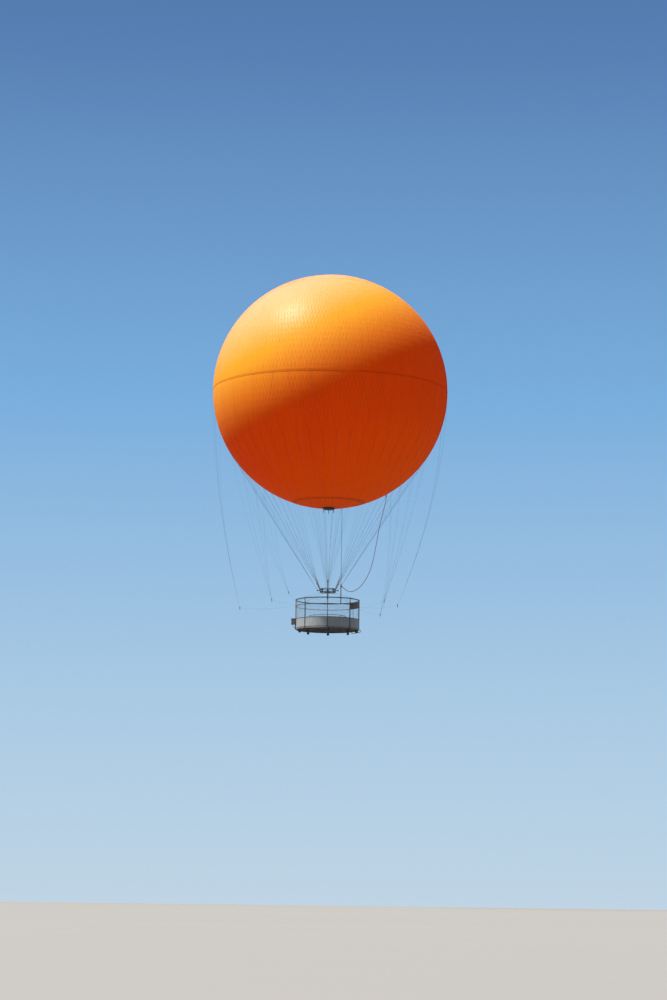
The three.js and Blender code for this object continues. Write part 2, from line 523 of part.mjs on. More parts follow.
// Service hose: its fitting on the envelope, its hanging loop and the line that it is tied to
function services() {
  const group = new THREE.Group();
  const [upperLatitude, lowerLatitude] = [sidePanels[2], sidePanels[3]];
  const hoseSpot = facetSpot(ENVELOPE_RADIUS, HOSE.facetAzimuth, upperLatitude, lowerLatitude, 0.5);
  const flangeStart = hoseSpot.spot.clone().addScaledVector(hoseSpot.normal, SEAT);
  const flangeEnd = flangeStart.clone().addScaledVector(hoseSpot.normal, HOSE_FLANGE.thickness);
  const slope = Math.hypot(hoseSpot.normal.x, hoseSpot.normal.y) / -hoseSpot.normal.z;
  const nozzleStart = flangeStart.clone().setZ(flangeStart.z - HOSE_FLANGE.nozzle * slope - 2);
  const nozzleEnd = nozzleStart.clone().setZ(nozzleStart.z - HOSE_FLANGE.drop);
  const fitting = joined(rod(flangeStart, flangeEnd, HOSE_FLANGE.radius, 16),
    rod(nozzleStart, nozzleEnd, HOSE_FLANGE.nozzle, 12));

  const sleeve = new THREE.Vector3(SLEEVE.x, SLEEVE.y, SLEEVE.height);
  const stubAlong = new THREE.Vector3(0.74, -0.05, -0.67).normalize();
  const stubEnd = sleeve.clone().addScaledVector(stubAlong, SLEEVE.stub);
  const anchor = facetSpot(ENVELOPE_RADIUS + SEAT + PATCH.thickness, CONTROL.facetAzimuth,
    patchRings[0], patchRings[1], CONTROL.inset);
  const anchorStart = anchor.spot.clone().addScaledVector(anchor.normal, SEAT);
  const anchorEnd = anchorStart.clone().addScaledVector(anchor.normal, 16);
  const foot = new THREE.Vector3(SLEEVE.x, SLEEVE.y, TOP_RING.high + SEAT);
  const footHigh = foot.clone().add(new THREE.Vector3(0, 0, 16));
  const line = joined(
    rod(anchorStart, anchorEnd, 90, 12),
    rod(anchorEnd.clone().addScaledVector(anchor.normal, -8), sleeve, CONTROL.upper, 6),
    rod(sleeve.clone().setZ(SLEEVE.height - SLEEVE.half), sleeve.clone().setZ(SLEEVE.height + SLEEVE.half),
      SLEEVE.radius, 12),
    rod(sleeve, stubEnd, SLEEVE.stubRadius, 8),
    rod(footHigh.clone().setZ(footHigh.z - 8), sleeve, CONTROL.lower, 8),
    new THREE.BoxGeometry(CONTROL.foot, 50, 16).rotateZ(Math.atan2(SLEEVE.x, -SLEEVE.y) + Math.PI)
      .translate(foot.x, foot.y, foot.z + 8),
  );

  const hoseStart = nozzleEnd.clone().add(new THREE.Vector3(0, 0, -SEAT));
  const hoseEnd = stubEnd.clone().addScaledVector(stubAlong, SEAT);
  const route = new THREE.CatmullRomCurve3([
    hoseStart,
    hoseStart.clone().add(new THREE.Vector3(0, 0, -250)),
    new THREE.Vector3(5270, 1880, -10450),
    new THREE.Vector3(5080, 1950, -11250),
    new THREE.Vector3(4830, 1990, -12250),
    new THREE.Vector3(4650, 2020, -13300),
    new THREE.Vector3(4470, 2050, -14320),
    new THREE.Vector3(4270, 2100, -15400),
    new THREE.Vector3(4030, 2160, -16350),
    new THREE.Vector3(3750, 2230, -17050),
    new THREE.Vector3(3420, 2310, -17620),
    new THREE.Vector3(3050, 2390, -18090),
    new THREE.Vector3(2650, 2470, -18400),
    new THREE.Vector3(2230, 2550, -18560),
    new THREE.Vector3(1830, 2610, -18480),
    hoseEnd.clone().addScaledVector(stubAlong, 160),
    hoseEnd,
  ], false, 'centripetal');
  const section = new THREE.Shape().absarc(0, 0, HOSE.radius, 0, 2 * Math.PI, false);
  const hose = solid(new THREE.ExtrudeGeometry(section, {
    steps: HOSE.steps, extrudePath: route, bevelEnabled: false, curveSegments: HOSE.sides / 2,
  }));
  group.add(
    mesh('hose_fitting', fitting, finishes.blackPlastic),
    mesh('service_hose', hose, finishes.blackPlastic),
    mesh('control_line', line, finishes.rope),
  );
  return group;
}

const balloon = new THREE.Group();
balloon.add(envelope(), suspension(), gondola(), services());

export default balloon;
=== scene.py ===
"""Looks of the tethered helium balloon: its cloth, net, lines, load ring and gondola.

Metres, +Z up, the origin at the envelope's centre. Azimuths are in degrees from the front
(-Y) towards the right side (+X), and latitudes in degrees above the envelope's equator.
"""

import logging
from dataclasses import dataclass, field, replace
from enum import Enum
from functools import cached_property, reduce
from math import acos, atan2, ceil, degrees, radians

import bpy
import numpy as np
from mathutils import Matrix, Vector


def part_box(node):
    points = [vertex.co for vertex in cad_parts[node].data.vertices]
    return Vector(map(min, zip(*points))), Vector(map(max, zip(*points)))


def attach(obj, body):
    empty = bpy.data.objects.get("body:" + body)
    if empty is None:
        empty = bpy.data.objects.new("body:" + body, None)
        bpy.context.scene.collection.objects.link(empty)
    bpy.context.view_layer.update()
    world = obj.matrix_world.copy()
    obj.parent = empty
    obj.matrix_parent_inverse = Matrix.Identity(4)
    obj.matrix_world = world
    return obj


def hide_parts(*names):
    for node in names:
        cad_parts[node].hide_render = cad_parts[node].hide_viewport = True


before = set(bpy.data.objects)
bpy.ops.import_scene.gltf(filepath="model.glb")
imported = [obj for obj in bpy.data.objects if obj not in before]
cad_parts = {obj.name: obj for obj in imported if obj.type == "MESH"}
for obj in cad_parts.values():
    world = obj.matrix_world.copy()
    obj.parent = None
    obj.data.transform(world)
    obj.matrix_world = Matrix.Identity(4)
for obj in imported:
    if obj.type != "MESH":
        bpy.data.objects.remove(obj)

Array = np.ndarray
Number = Array | float
Colour = tuple[float, float, float]
Point = tuple[float, float, float]
Socket = bpy.types.NodeSocket
Tree = bpy.types.NodeTree
Node = bpy.types.Node
Material = bpy.types.Material

# Directions and turned frames, the surface chart's name, the gap under a seated piece, the
# direction to the sun, and the heights of the cage's top ring, mid rail and rim rail.
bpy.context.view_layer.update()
RIGHT, BACK, UP = np.eye(3)
UPSIDE_DOWN = np.diag([1.0, -1.0, -1.0])
ON_ITS_SIDE = np.array([[1.0, 0, 0], [0, 0, -1.0], [0, 1.0, 0]])
CHART = "chart"
SEAT = 0.0004
# SUNNY_SIDE also places the painted sunlight on the cloth, the ropes and the cladding.
SUNNY_SIDE = (-0.445, -0.08, 0.892)
TOP_RING = -19.6696
MID_RAIL = -20.29
RIM_LOW, RIM_HIGH = -21.52, -21.48

logging.basicConfig(level=logging.INFO, format="%(message)s")
log = logging.getLogger("balloon")


class Slot(Enum):
    """The record's material slots."""

    ENVELOPE = "envelope_fabric"
    SEAM = "seam_tape"
    ROPE = "rope"
    RING_STEEL = "ring_steel"
    DARK_STEEL = "dark_steel"
    CLADDING = "cladding"
    DECK = "deck"
    BROWN_PANEL = "brown_panel"
    BLACK_PLASTIC = "black_plastic"
    TYRE = "tyre"


# Points, directions and frames


def unit(vectors: Array) -> Array:
    """Vectors scaled to length one."""
    return vectors / np.linalg.norm(vectors, axis=-1, keepdims=True)


def polar(radius: Number, azimuth: Number, height: Number) -> Array:
    """Places at a radius, an azimuth and a height: (r sin a, -r cos a, z)."""
    turn = np.radians(azimuth)
    return np.stack(np.broadcast_arrays(radius * np.sin(turn), -radius * np.cos(turn), height), axis=-1)


def outwards(azimuth: Number) -> Array:
    """The level direction away from the Z axis."""
    return polar(1.0, azimuth, 0.0)


def sideways(azimuth: Number) -> Array:
    """The level direction in which the azimuth grows."""
    return polar(1.0, np.asarray(azimuth) + 90.0, 0.0)


def on_sphere(radius: Number, azimuth: Number, latitude: Number) -> Array:
    """Places on a sphere about the origin: the cosine of the latitude out, its sine up."""
    level = np.radians(latitude)
    return polar(radius * np.cos(level), azimuth, radius * np.sin(level))


def latitude_of(radius: float, sphere: float) -> float:
    """The latitude at which a sphere is as wide as a radius."""
    return degrees(acos(radius / sphere))


def frames_towards(normals: Array) -> Array:
    """Frames (n, 3, 3) whose Z follows the normals and whose X is level."""
    ahead, side = (unit(part) for part in (np.atleast_2d(normals), np.cross(UP, np.atleast_2d(normals))))
    return np.stack([side, np.cross(ahead, side), ahead], axis=-1)


def spread(count: int, start: float = 0.0) -> Array:
    """Azimuths of equal steps round the circle."""
    return start + np.arange(count) * 360.0 / count


def paired(azimuth: Array, latitude: float) -> Array:
    """Azimuths with one latitude beside each, (n, 2)."""
    return np.stack([azimuth, 0 * azimuth + latitude], axis=-1)


def smooth_step(value: Array) -> Array:
    """3t^2 - 2t^3 of a value held between 0 and 1."""
    held = np.clip(value, 0.0, 1.0)
    return held * held * (3.0 - 2.0 * held)


def window(value: Array, low: float, high: float, soft: float) -> Array:
    """1 between low and high, falling softly to 0 at both over the width soft."""
    return smooth_step((value - low) / soft) * smooth_step((high - value) / soft)


def travelled(places: Array, closed: bool) -> Array:
    """Distance walked at each point of a polyline, and at its closing point if closed."""
    walk = np.linalg.norm(np.roll(places, -1, axis=0) - places, axis=-1)
    return np.concatenate([[0.0], np.cumsum(walk if closed else walk[:-1])])


def catmull_rom(knots: Array, count: int) -> Array:
    """A centripetal Catmull-Rom curve through points.

    Each span is a cubic whose end slopes come from the neighbouring points, weighted by the
    square roots of the distances.

    Args:
        knots: The points, (n, 3).
        count: Points worked out in each span.

    Returns:
        Points along the curve, the first and the last knot among them.
    """
    ends = np.vstack([2 * knots[0] - knots[1], knots, 2 * knots[-1] - knots[-2]])
    gaps = np.sqrt(np.linalg.norm(np.diff(ends, axis=0), axis=1))[:, None]
    first, here, there, last = ends[:-3], ends[1:-2], ends[2:-1], ends[3:]
    before, between, after = gaps[:-2], gaps[1:-1], gaps[2:]
    leave = ((here - first) / before - (there - first) / (before + between)) * between
    leave += there - here
    reach = (last - there) / after - (last - here) / (between + after)
    reach = (there - here) + reach * between
    t = (np.arange(count) / count)[None, :, None]
    here, there, leave, reach = (part[:, None] for part in (here, there, leave, reach))
    curve = here + leave * t + (3 * (there - here) - 2 * leave - reach) * t**2
    curve = curve + (2 * (here - there) + leave + reach) * t**3
    return np.vstack([curve.reshape(-1, 3), knots[-1:]])


# Shader node trees


class Board:
    """A node tree that is being wired: each call adds a node and feeds its sockets."""

    def __init__(self, tree: Tree) -> None:
        """Keeps the tree."""
        self.tree = tree

    def feed(self, socket: Socket, value: object) -> None:
        """Links a socket to another one or sets its value.

        Args:
            socket: The socket.
            value: Another socket or a value; a plain colour gets full alpha.
        """
        if isinstance(value, Socket):
            self.tree.links.new(value, socket)
        else:
            socket.default_value = (*value, 1.0) if socket.type == "RGBA" else value

    def node(self, kind: str, settings: dict | None = None, **inputs: object) -> Node:
        """A shader node.

        Args:
            kind: The node's type, without ShaderNode.
            settings: Values of the node's own properties.
            inputs: Values or sockets by input name, with underscores for spaces.

        Returns:
            The node.
        """
        made = self.tree.nodes.new("ShaderNode" + kind)
        for name, value in (settings or {}).items():
            setattr(made, name, value)
        for name, value in inputs.items():
            self.feed(made.inputs[name.replace("_", " ")], value)
        return made

    def add(self, kind: str, settings: dict | None = None, **inputs: object) -> bpy.types.NodeOutputs:
        """The outputs of a new node."""
        return self.node(kind, settings, **inputs).outputs

    def use(self, group: Tree, **inputs: object) -> bpy.types.NodeOutputs:
        """The outputs of a group, with its inputs fed."""
        return self.add("Group", {"node_tree": group}, **inputs)

    def fed(self, node: Node, *values: object, start: int = 0) -> bpy.types.NodeOutputs:
        """A node's outputs, with its inputs fed one after another from a number on."""
        for socket, value in zip(node.inputs[start:], values):
            self.feed(socket, value)
        return node.outputs

    def math(self, operation: str, *values: object) -> Socket:
        """The result of a Math node."""
        return self.fed(self.node("Math", {"operation": operation}), *values)[0]

    def times(self, *values: object) -> Socket:
        """The product of values."""
        return reduce(lambda first, second: self.math("MULTIPLY", first, second), values)

    def plus(self, *values: object) -> Socket:
        """The sum of values."""
        return reduce(lambda first, second: self.math("ADD", first, second), values)

    def scaled(self, value: object, low: object, high: object, to_low: float = 0.0,
               to_high: float = 1.0, kind: str = "LINEAR") -> Socket:
        """A value carried from one range to another and held inside it."""
        return self.add("MapRange", {"interpolation_type": kind}, Value=value, From_Min=low,
                        From_Max=high, To_Min=to_low, To_Max=to_high)[0]

    def tint(self, factor: object, first: object, second: object) -> Socket:
        """A colour between two."""
        return self.fed(self.node("Mix", {"data_type": "RGBA"}, Factor=factor), first, second, start=6)[2]

    def noise(self, vector: object, scale: object, detail: float = 2.0, rough: float = 0.5) -> Socket:
        """The value of a Noise Texture."""
        return self.add("TexNoise", Vector=vector, Scale=scale, Detail=detail, Roughness=rough)["Fac"]

    def stretched(self, vector: object, scale: Point) -> Socket:
        """Coordinates multiplied along each axis."""
        return self.add("Mapping", Vector=vector, Scale=scale)[0]

    def along(self, vector: object, direction: Point) -> Socket:
        """How far a vector goes in a fixed direction: their dot product."""
        return self.fed(self.node("VectorMath", {"operation": "DOT_PRODUCT"}), vector, direction)["Value"]

    def split(self, vector: object) -> tuple[Socket, ...]:
        """The three parts of a vector."""
        return tuple(self.add("SeparateXYZ", Vector=vector))


class GroupBoard(Board):
    """The board of a new node group that takes a vector and some numbers."""

    def __init__(self, name: str, *outputs: str, **inputs: float) -> None:
        """Makes the group and its sockets.

        Args:
            name: The group's name.
            outputs: Names of the numbers that it puts out.
            inputs: Defaults of the numbers that it takes, with underscores for spaces.
        """
        super().__init__(bpy.data.node_groups.new(name, "ShaderNodeTree"))
        socket = self.tree.interface.new_socket
        socket(name="Vector", in_out="INPUT", socket_type="NodeSocketVector")
        for key, default in inputs.items():
            made = socket(name=key.replace("_", " "), in_out="INPUT", socket_type="NodeSocketFloat")
            made.default_value = default
        for key in outputs:
            socket(name=key, in_out="OUTPUT", socket_type="NodeSocketFloat")
        self.given = self.tree.nodes.new("NodeGroupInput").outputs
        self.vector = self.given["Vector"]
        self.out = self.tree.nodes.new("NodeGroupOutput").inputs

    def put(self, **values: Socket) -> Tree:
        """Feeds the group's outputs and gives back the group."""
        for name, value in values.items():
            self.feed(self.out[name], value)
        return self.tree


class Effects:
    """Node groups that several finishes share, each built on its first use."""

    @cached_property
    def weave(self) -> Tree:
        """Plain weave: the warp's and the weft's sine ridges on top in turn.

        Returns:
            The group, which puts out Height, from 0 to 1.
        """
        board = GroupBoard("plain_weave", "Height", Pitch=0.002)
        u, v = (board.math("DIVIDE", part, board.given["Pitch"]) for part in board.split(board.vector)[:2])
        warp, weft = (board.math("ABSOLUTE", board.math("SINE", board.times(part, np.pi))) for part in (u, v))
        turn = board.math("PINGPONG", board.plus(*(board.math("FLOOR", part) for part in (u, v))), 1.0)
        over = board.times(warp, board.math("SUBTRACT", 1.0, turn))
        return board.put(Height=board.plus(over, board.times(weft, turn)))

    @cached_property
    def lay(self) -> Tree:
        """Braided rope: the higher of two sets of sine ridges that cross on the slant.

        Returns:
            The group, which puts out Height, from 0 to 1.
        """
        board = GroupBoard("rope_lay", "Height", Girth=0.06, Pitch=0.04)
        x, y, _ = board.split(board.vector)
        turn = board.math("DIVIDE", x, board.given["Girth"])
        rise = board.math("DIVIDE", y, board.given["Pitch"])
        phases = (board.times(board.math(way, rise, turn), 2 * np.pi) for way in ("ADD", "SUBTRACT"))
        ridges = (board.math("ABSOLUTE", board.math("SINE", phase)) for phase in phases)
        return board.put(Height=board.math("MAXIMUM", *ridges))

    @cached_property
    def grain(self) -> Tree:
        """Broad patches and a fine grain from two noises."""
        board = GroupBoard("grain", "Patches", "Fine", Scale=6.0)
        return board.put(Patches=board.noise(board.vector, board.given["Scale"], 4.0),
                         Fine=board.noise(board.vector, board.times(board.given["Scale"], 40.0), 3.0, 0.6))

    @cached_property
    def wear(self) -> Tree:
        """Worn edges: where the surface is pointed, broken up by a noise.

        Returns:
            The group, which puts out Mask.
        """
        board = GroupBoard("edge_wear", "Mask", Amount=0.5)
        edge = board.scaled(board.add("NewGeometry")["Pointiness"], 0.52, 0.62)
        broken = board.scaled(board.noise(board.vector, 45.0, 4.0, 0.65), 0.42, 0.62)
        return board.put(Mask=board.times(edge, broken, board.given["Amount"]))

    @cached_property
    def dust(self) -> Tree:
        """Dust: where the surface faces up, in uneven patches.

        Returns:
            The group, which puts out Mask.
        """
        board = GroupBoard("dust", "Mask", Amount=0.4)
        flat = board.scaled(board.split(board.add("NewGeometry")["Normal"])[2], 0.3, 0.95)
        patches = board.scaled(board.noise(board.vector, 5.0, 5.0, 0.6), 0.35, 0.7)
        return board.put(Mask=board.times(flat, patches, board.given["Amount"]))

    @cached_property
    def streaks(self) -> Tree:
        """Rain streaks: a noise drawn out along Z."""
        board = GroupBoard("rain_streaks", "Mask", Scale=6.0)
        value = board.noise(board.stretched(board.vector, (1.0, 1.0, 0.06)), board.given["Scale"], 4.0, 0.6)
        return board.put(Mask=board.scaled(value, 0.45, 0.72))

    @cached_property
    def gores(self) -> Tree:
        """Seams of cloth panels, on a chart of panel number and latitude.

        Seam is 1 on the tape and 0 beside it, Shade differs a little from panel to panel, and
        Pucker rises and falls along the seam close to its stitches.

        Returns:
            The group, which puts out those three.
        """
        board = GroupBoard("cloth_gores", "Seam", "Shade", "Pucker", Half_width=0.03, Panel_height=8.0)
        panel, latitude, _ = board.split(board.vector)
        away = board.math("PINGPONG", panel, 0.5)
        level = board.math("COSINE", board.times(latitude, radians(1)))
        half = board.math("DIVIDE", board.given["Half width"], board.math("MAXIMUM", level, 0.1))
        seam = board.scaled(away, half, board.times(half, 1.15), 1.0, 0.0, "SMOOTHSTEP")
        row = board.math("FLOOR", board.math("DIVIDE", latitude, board.given["Panel height"]))
        cell = board.add("CombineXYZ", X=board.math("FLOOR", panel), Y=row)[0]
        waves = board.noise(board.stretched(board.vector, (1.0, 9.0, 1.0)), 1.0, 3.0)
        return board.put(Seam=seam, Shade=board.add("TexWhiteNoise", Vector=cell)["Value"],
                         Pucker=board.times(waves, board.scaled(away, 0.0, 0.3, 1.0, 0.0)))

    @cached_property
    def painted_light(self) -> Tree:
        """Painted light on the cloth: masks from how far the sphere turns towards the sun.

        Returns:
            The group, which puts out masks for the painted sunlit side, the painted highlight and the side
            away from the sun, which takes painted bounce light.
        """
        board = GroupBoard("sun_fading", "Faded", "Bleached", "Under", Radius=11.0)
        turned_to = board.math("DIVIDE", board.along(board.vector, SUNNY_SIDE), board.given["Radius"])
        return board.put(Faded=board.scaled(turned_to, -0.04, 0.44),
                         Bleached=board.scaled(turned_to, 0.5, 1.0),
                         Under=board.scaled(turned_to, -0.35, -0.95))

    @cached_property
    def painted_sun_side(self) -> Tree:
        """Painted sunlight: a lighter tone where the surface faces the sun, a little unevenly.

        Returns:
            The group, which puts out Mask.
        """
        board = GroupBoard("paint_chalking", "Mask")
        facing = board.along(board.add("NewGeometry")["Normal"], SUNNY_SIDE)
        patches = board.scaled(board.noise(board.vector, 2.5, 4.0), 0.25, 0.6, 0.8, 1.0)
        return board.put(Mask=board.times(board.scaled(facing, 0.05, 0.3), patches))

    @cached_property
    def spangle(self) -> Tree:
        """Zinc flowers: flat cells of differing brightness."""
        board = GroupBoard("zinc_spangle", "Cell", Scale=60.0)
        cells = board.add("TexVoronoi", Vector=board.vector, Scale=board.given["Scale"])["Color"]
        return board.put(Cell=board.add("SeparateColor", Color=cells)[0])


class MaterialBoard(Board):
    """The board of a new material with a Principled shader.

    Attributes:
        shader: The shader's own inputs.
        place: The coordinates in the object's frame.
    """

    def __init__(self, name: str) -> None:
        """Makes the material.

        Args:
            name: The material's name.
        """
        self.material = bpy.data.materials.new(name)
        self.material.use_nodes = True
        super().__init__(self.material.node_tree)
        self.shader = self.tree.nodes["Principled BSDF"].inputs
        self.place = self.add("TexCoord")["Object"]

    @cached_property
    def chart(self) -> Socket:
        """The surface coordinates."""
        return self.add("UVMap", {"uv_map": CHART})[0]

    def put(self, **values: object) -> None:
        """Feeds or sets the shader's sockets, with underscores for spaces."""
        for name, value in values.items():
            self.feed(self.shader[name.replace("_", " ")], value)

    def rough(self, fine: Socket, middle: float, less: float, more: float) -> Socket:
        """A roughness that strays from its middle value with the fine grain."""
        return self.scaled(fine, 0.3, 0.7, middle - less, middle + more)

    def bump(self, height: object, distance: float) -> None:
        """Feeds a height times a distance in metres into the shader's normal."""
        self.put(Normal=self.add("Bump", Height=height, Distance=distance, Strength=1.0)["Normal"])


# Finishes


@dataclass(frozen=True)
class ClothFinish:
    """Coated envelope cloth: taped panels, a fine weave, puckers along the seams, rain streaks, and
    painted light: a yellower sunlit side, a paler highlight and a warmer tint on the side away from the sun.
    """

    tape_amount: float
    half_width: float
    panel_height: float
    base: Colour = (0.84, 0.062, 0.0005)
    second: Colour = (0.8, 0.055, 0.0005)
    # Painted light: under is a warmer tint for painted bounce light on the side away from the sun; the next
    # two are the painted sunlit tone and the painted highlight.
    under: Colour = (0.83, 0.08, 0.0005)
    faded: Colour = (0.71, 0.285, 0.013)
    bleached: Colour = (0.8, 0.345, 0.2)
    tape: Colour = (0.42, 0.045, 0.003)
    grime: Colour = (0.34, 0.075, 0.012)
    radius: float = 11.0
    panels: int = 96
    thread: float = 0.0016
    roughness: float = 0.42

    def build(self, name: str, effects: Effects) -> Material:
        """The material.

        Args:
            name: Its name.
            effects: The shared node groups.

        Returns:
            The wired material.
        """
        board = MaterialBoard(name)
        place = board.place
        gores = board.use(effects.gores, Vector=board.chart, Half_width=self.half_width,
                          Panel_height=self.panel_height)
        grain = board.use(effects.grain, Vector=place, Scale=0.35)
        painted_light = board.use(effects.painted_light, Vector=place, Radius=self.radius)
        streak = board.use(effects.streaks, Vector=place, Scale=1.6)["Mask"]
        broad = board.scaled(grain["Patches"], 0.3, 0.7, 0.0, 0.35)
        cloth = self.base
        # Besides the panels, patches, seams and streaks, these masks paint light into the colour: the sunlit
        # side, the highlight and the bounce light on the side away from the sun.
        for mask, shade in (
                (gores["Shade"], self.second), (broad, self.second), (painted_light["Under"], self.under),
                (painted_light["Faded"], self.faded), (painted_light["Bleached"], self.bleached),
                (board.times(gores["Seam"], self.tape_amount), self.tape),
                (board.times(streak, 0.07), self.grime)):
            cloth = board.tint(mask, cloth, shade)
        rough = board.rough(grain["Fine"], self.roughness, 0.05, 0.07)
        board.put(Base_Color=cloth, Specular_IOR_Level=0.08,
                  Roughness=board.plus(rough, board.scaled(painted_light["Faded"], 0.0, 1.0, 0.55, 0.0)))
        creases = board.noise(board.stretched(place, (1.0, 1.0, 1.8)), 1.1, 3.0, 0.5)
        board.bump(board.plus(
            board.times(self.threads(board, effects), 0.00012), board.times(gores["Seam"], 0.0012),
            board.times(gores["Pucker"], 0.003), board.times(creases, 0.006)), 1.0)
        return board.material

    def threads(self, board: MaterialBoard, effects: Effects) -> Socket:
        """The weave's height, with the chart turned into metres across and along the panels.

        Args:
            board: The material's board.
            effects: The shared node groups.

        Returns:
            The height.
        """
        panel, latitude, _ = board.split(board.chart)
        across = board.math("SUBTRACT", board.math("FRACT", panel), 0.5)
        level = board.math("COSINE", board.times(latitude, radians(1)))
        flat = board.add("CombineXYZ", X=board.times(across, level, 2 * np.pi * self.radius / self.panels),
                         Y=board.times(latitude, radians(1) * self.radius))[0]
        return board.use(effects.weave, Vector=flat, Pitch=self.thread)["Height"]


@dataclass(frozen=True)
class RopeFinish:
    """Braided rope or woven webbing, on a chart of girth and length in metres."""

    base: Colour
    second: Colour
    girth: float
    pitch: float
    relief: float
    woven: bool = False
    roughness: float = 0.85
    faded: Colour | None = None

    def build(self, name: str, effects: Effects) -> Material:
        """The material.

        Args:
            name: Its name.
            effects: The shared node groups.

        Returns:
            The wired material.
        """
        board = MaterialBoard(name)
        group, inputs = (effects.weave, {}) if self.woven else (effects.lay, {"Girth": self.girth})
        lay = board.use(group, Vector=board.chart, Pitch=self.pitch, **inputs)["Height"]
        grain = board.use(effects.grain, Vector=board.place, Scale=3.0)
        yarn = board.tint(board.scaled(grain["Patches"], 0.3, 0.7), self.base, self.second)
        # Painted light: the yarn takes a lighter, yellower tone where the sphere turns towards the sun.
        if self.faded:
            yarn = board.tint(board.use(effects.painted_light, Vector=board.place)["Faded"], yarn, self.faded)
        # Painted shade: the yarn is darker in the grooves between its strands or threads.
        dark = tuple(0.35 * part for part in self.base)
        board.put(Base_Color=board.tint(board.scaled(lay, 0.0, 0.7, 0.35, 0.0), yarn, dark),
                  Roughness=board.rough(grain["Fine"], self.roughness, 0.1, 0.08), Specular_IOR_Level=0.05)
        board.bump(lay, self.relief)
        return board.material


@dataclass(frozen=True)
class HardFinish:
    """Metal, paint, board or moulded plastic: patches, worn edges, dust, streaks and a fine relief."""

    base: Colour
    second: Colour
    metallic: float = 0.0
    roughness: float = 0.5
    worn: Colour = (0.3, 0.31, 0.32)
    worn_metallic: float = 0.8
    wear: float = 0.5
    dirt: Colour = (0.16, 0.14, 0.12)
    dust: float = 0.3
    streaks: float = 0.0
    spangle: float = 0.0
    scale: float = 6.0
    relief: float = 0.0003
    stretch: Point = (1.0, 1.0, 1.0)
    weave: float = 0.0
    painted_sunlight_tint: Colour | None = None

    def build(self, name: str, effects: Effects) -> Material:
        """The material.

        Args:
            name: Its name.
            effects: The shared node groups.

        Returns:
            The wired material.
        """
        board = MaterialBoard(name)
        place = board.place
        grain = board.use(effects.grain, Vector=board.stretched(place, self.stretch), Scale=self.scale)
        wear = board.use(effects.wear, Vector=place, Amount=self.wear)["Mask"]
        dust = board.use(effects.dust, Vector=place, Amount=self.dust)["Mask"]
        face = board.tint(board.scaled(grain["Patches"], 0.32, 0.68), self.base, self.second)
        # Painted light: a lighter tone where the surface faces the sun.
        if self.painted_sunlight_tint:
            face = board.tint(board.use(effects.painted_sun_side, Vector=place)["Mask"], face, self.painted_sunlight_tint)
        if self.spangle:
            cell = board.use(effects.spangle, Vector=place, Scale=55.0)["Cell"]
            light = tuple(min(1.0, 1.5 * part) for part in self.base)
            face = board.tint(board.times(cell, self.spangle), face, light)
        if self.streaks:
            run = board.use(effects.streaks, Vector=place, Scale=9.0)["Mask"]
            face = board.tint(board.times(run, self.streaks), face, self.dirt)
        face = board.tint(dust, board.tint(wear, face, self.worn), self.dirt)
        metal = board.plus(self.metallic, board.times(wear, self.worn_metallic - self.metallic))
        rough = board.rough(grain["Fine"], self.roughness, 0.08, 0.08)
        board.put(Base_Color=face, Metallic=board.times(metal, board.math("SUBTRACT", 1.0, dust)),
                  Roughness=board.plus(rough, board.times(dust, 0.3)))
        height = grain["Fine"]
        if self.weave:
            rib = board.use(effects.weave, Vector=board.chart, Pitch=self.weave)["Height"]
            height = board.plus(height, board.times(rib, 2.0))
        board.bump(height, self.relief)
        return board.material


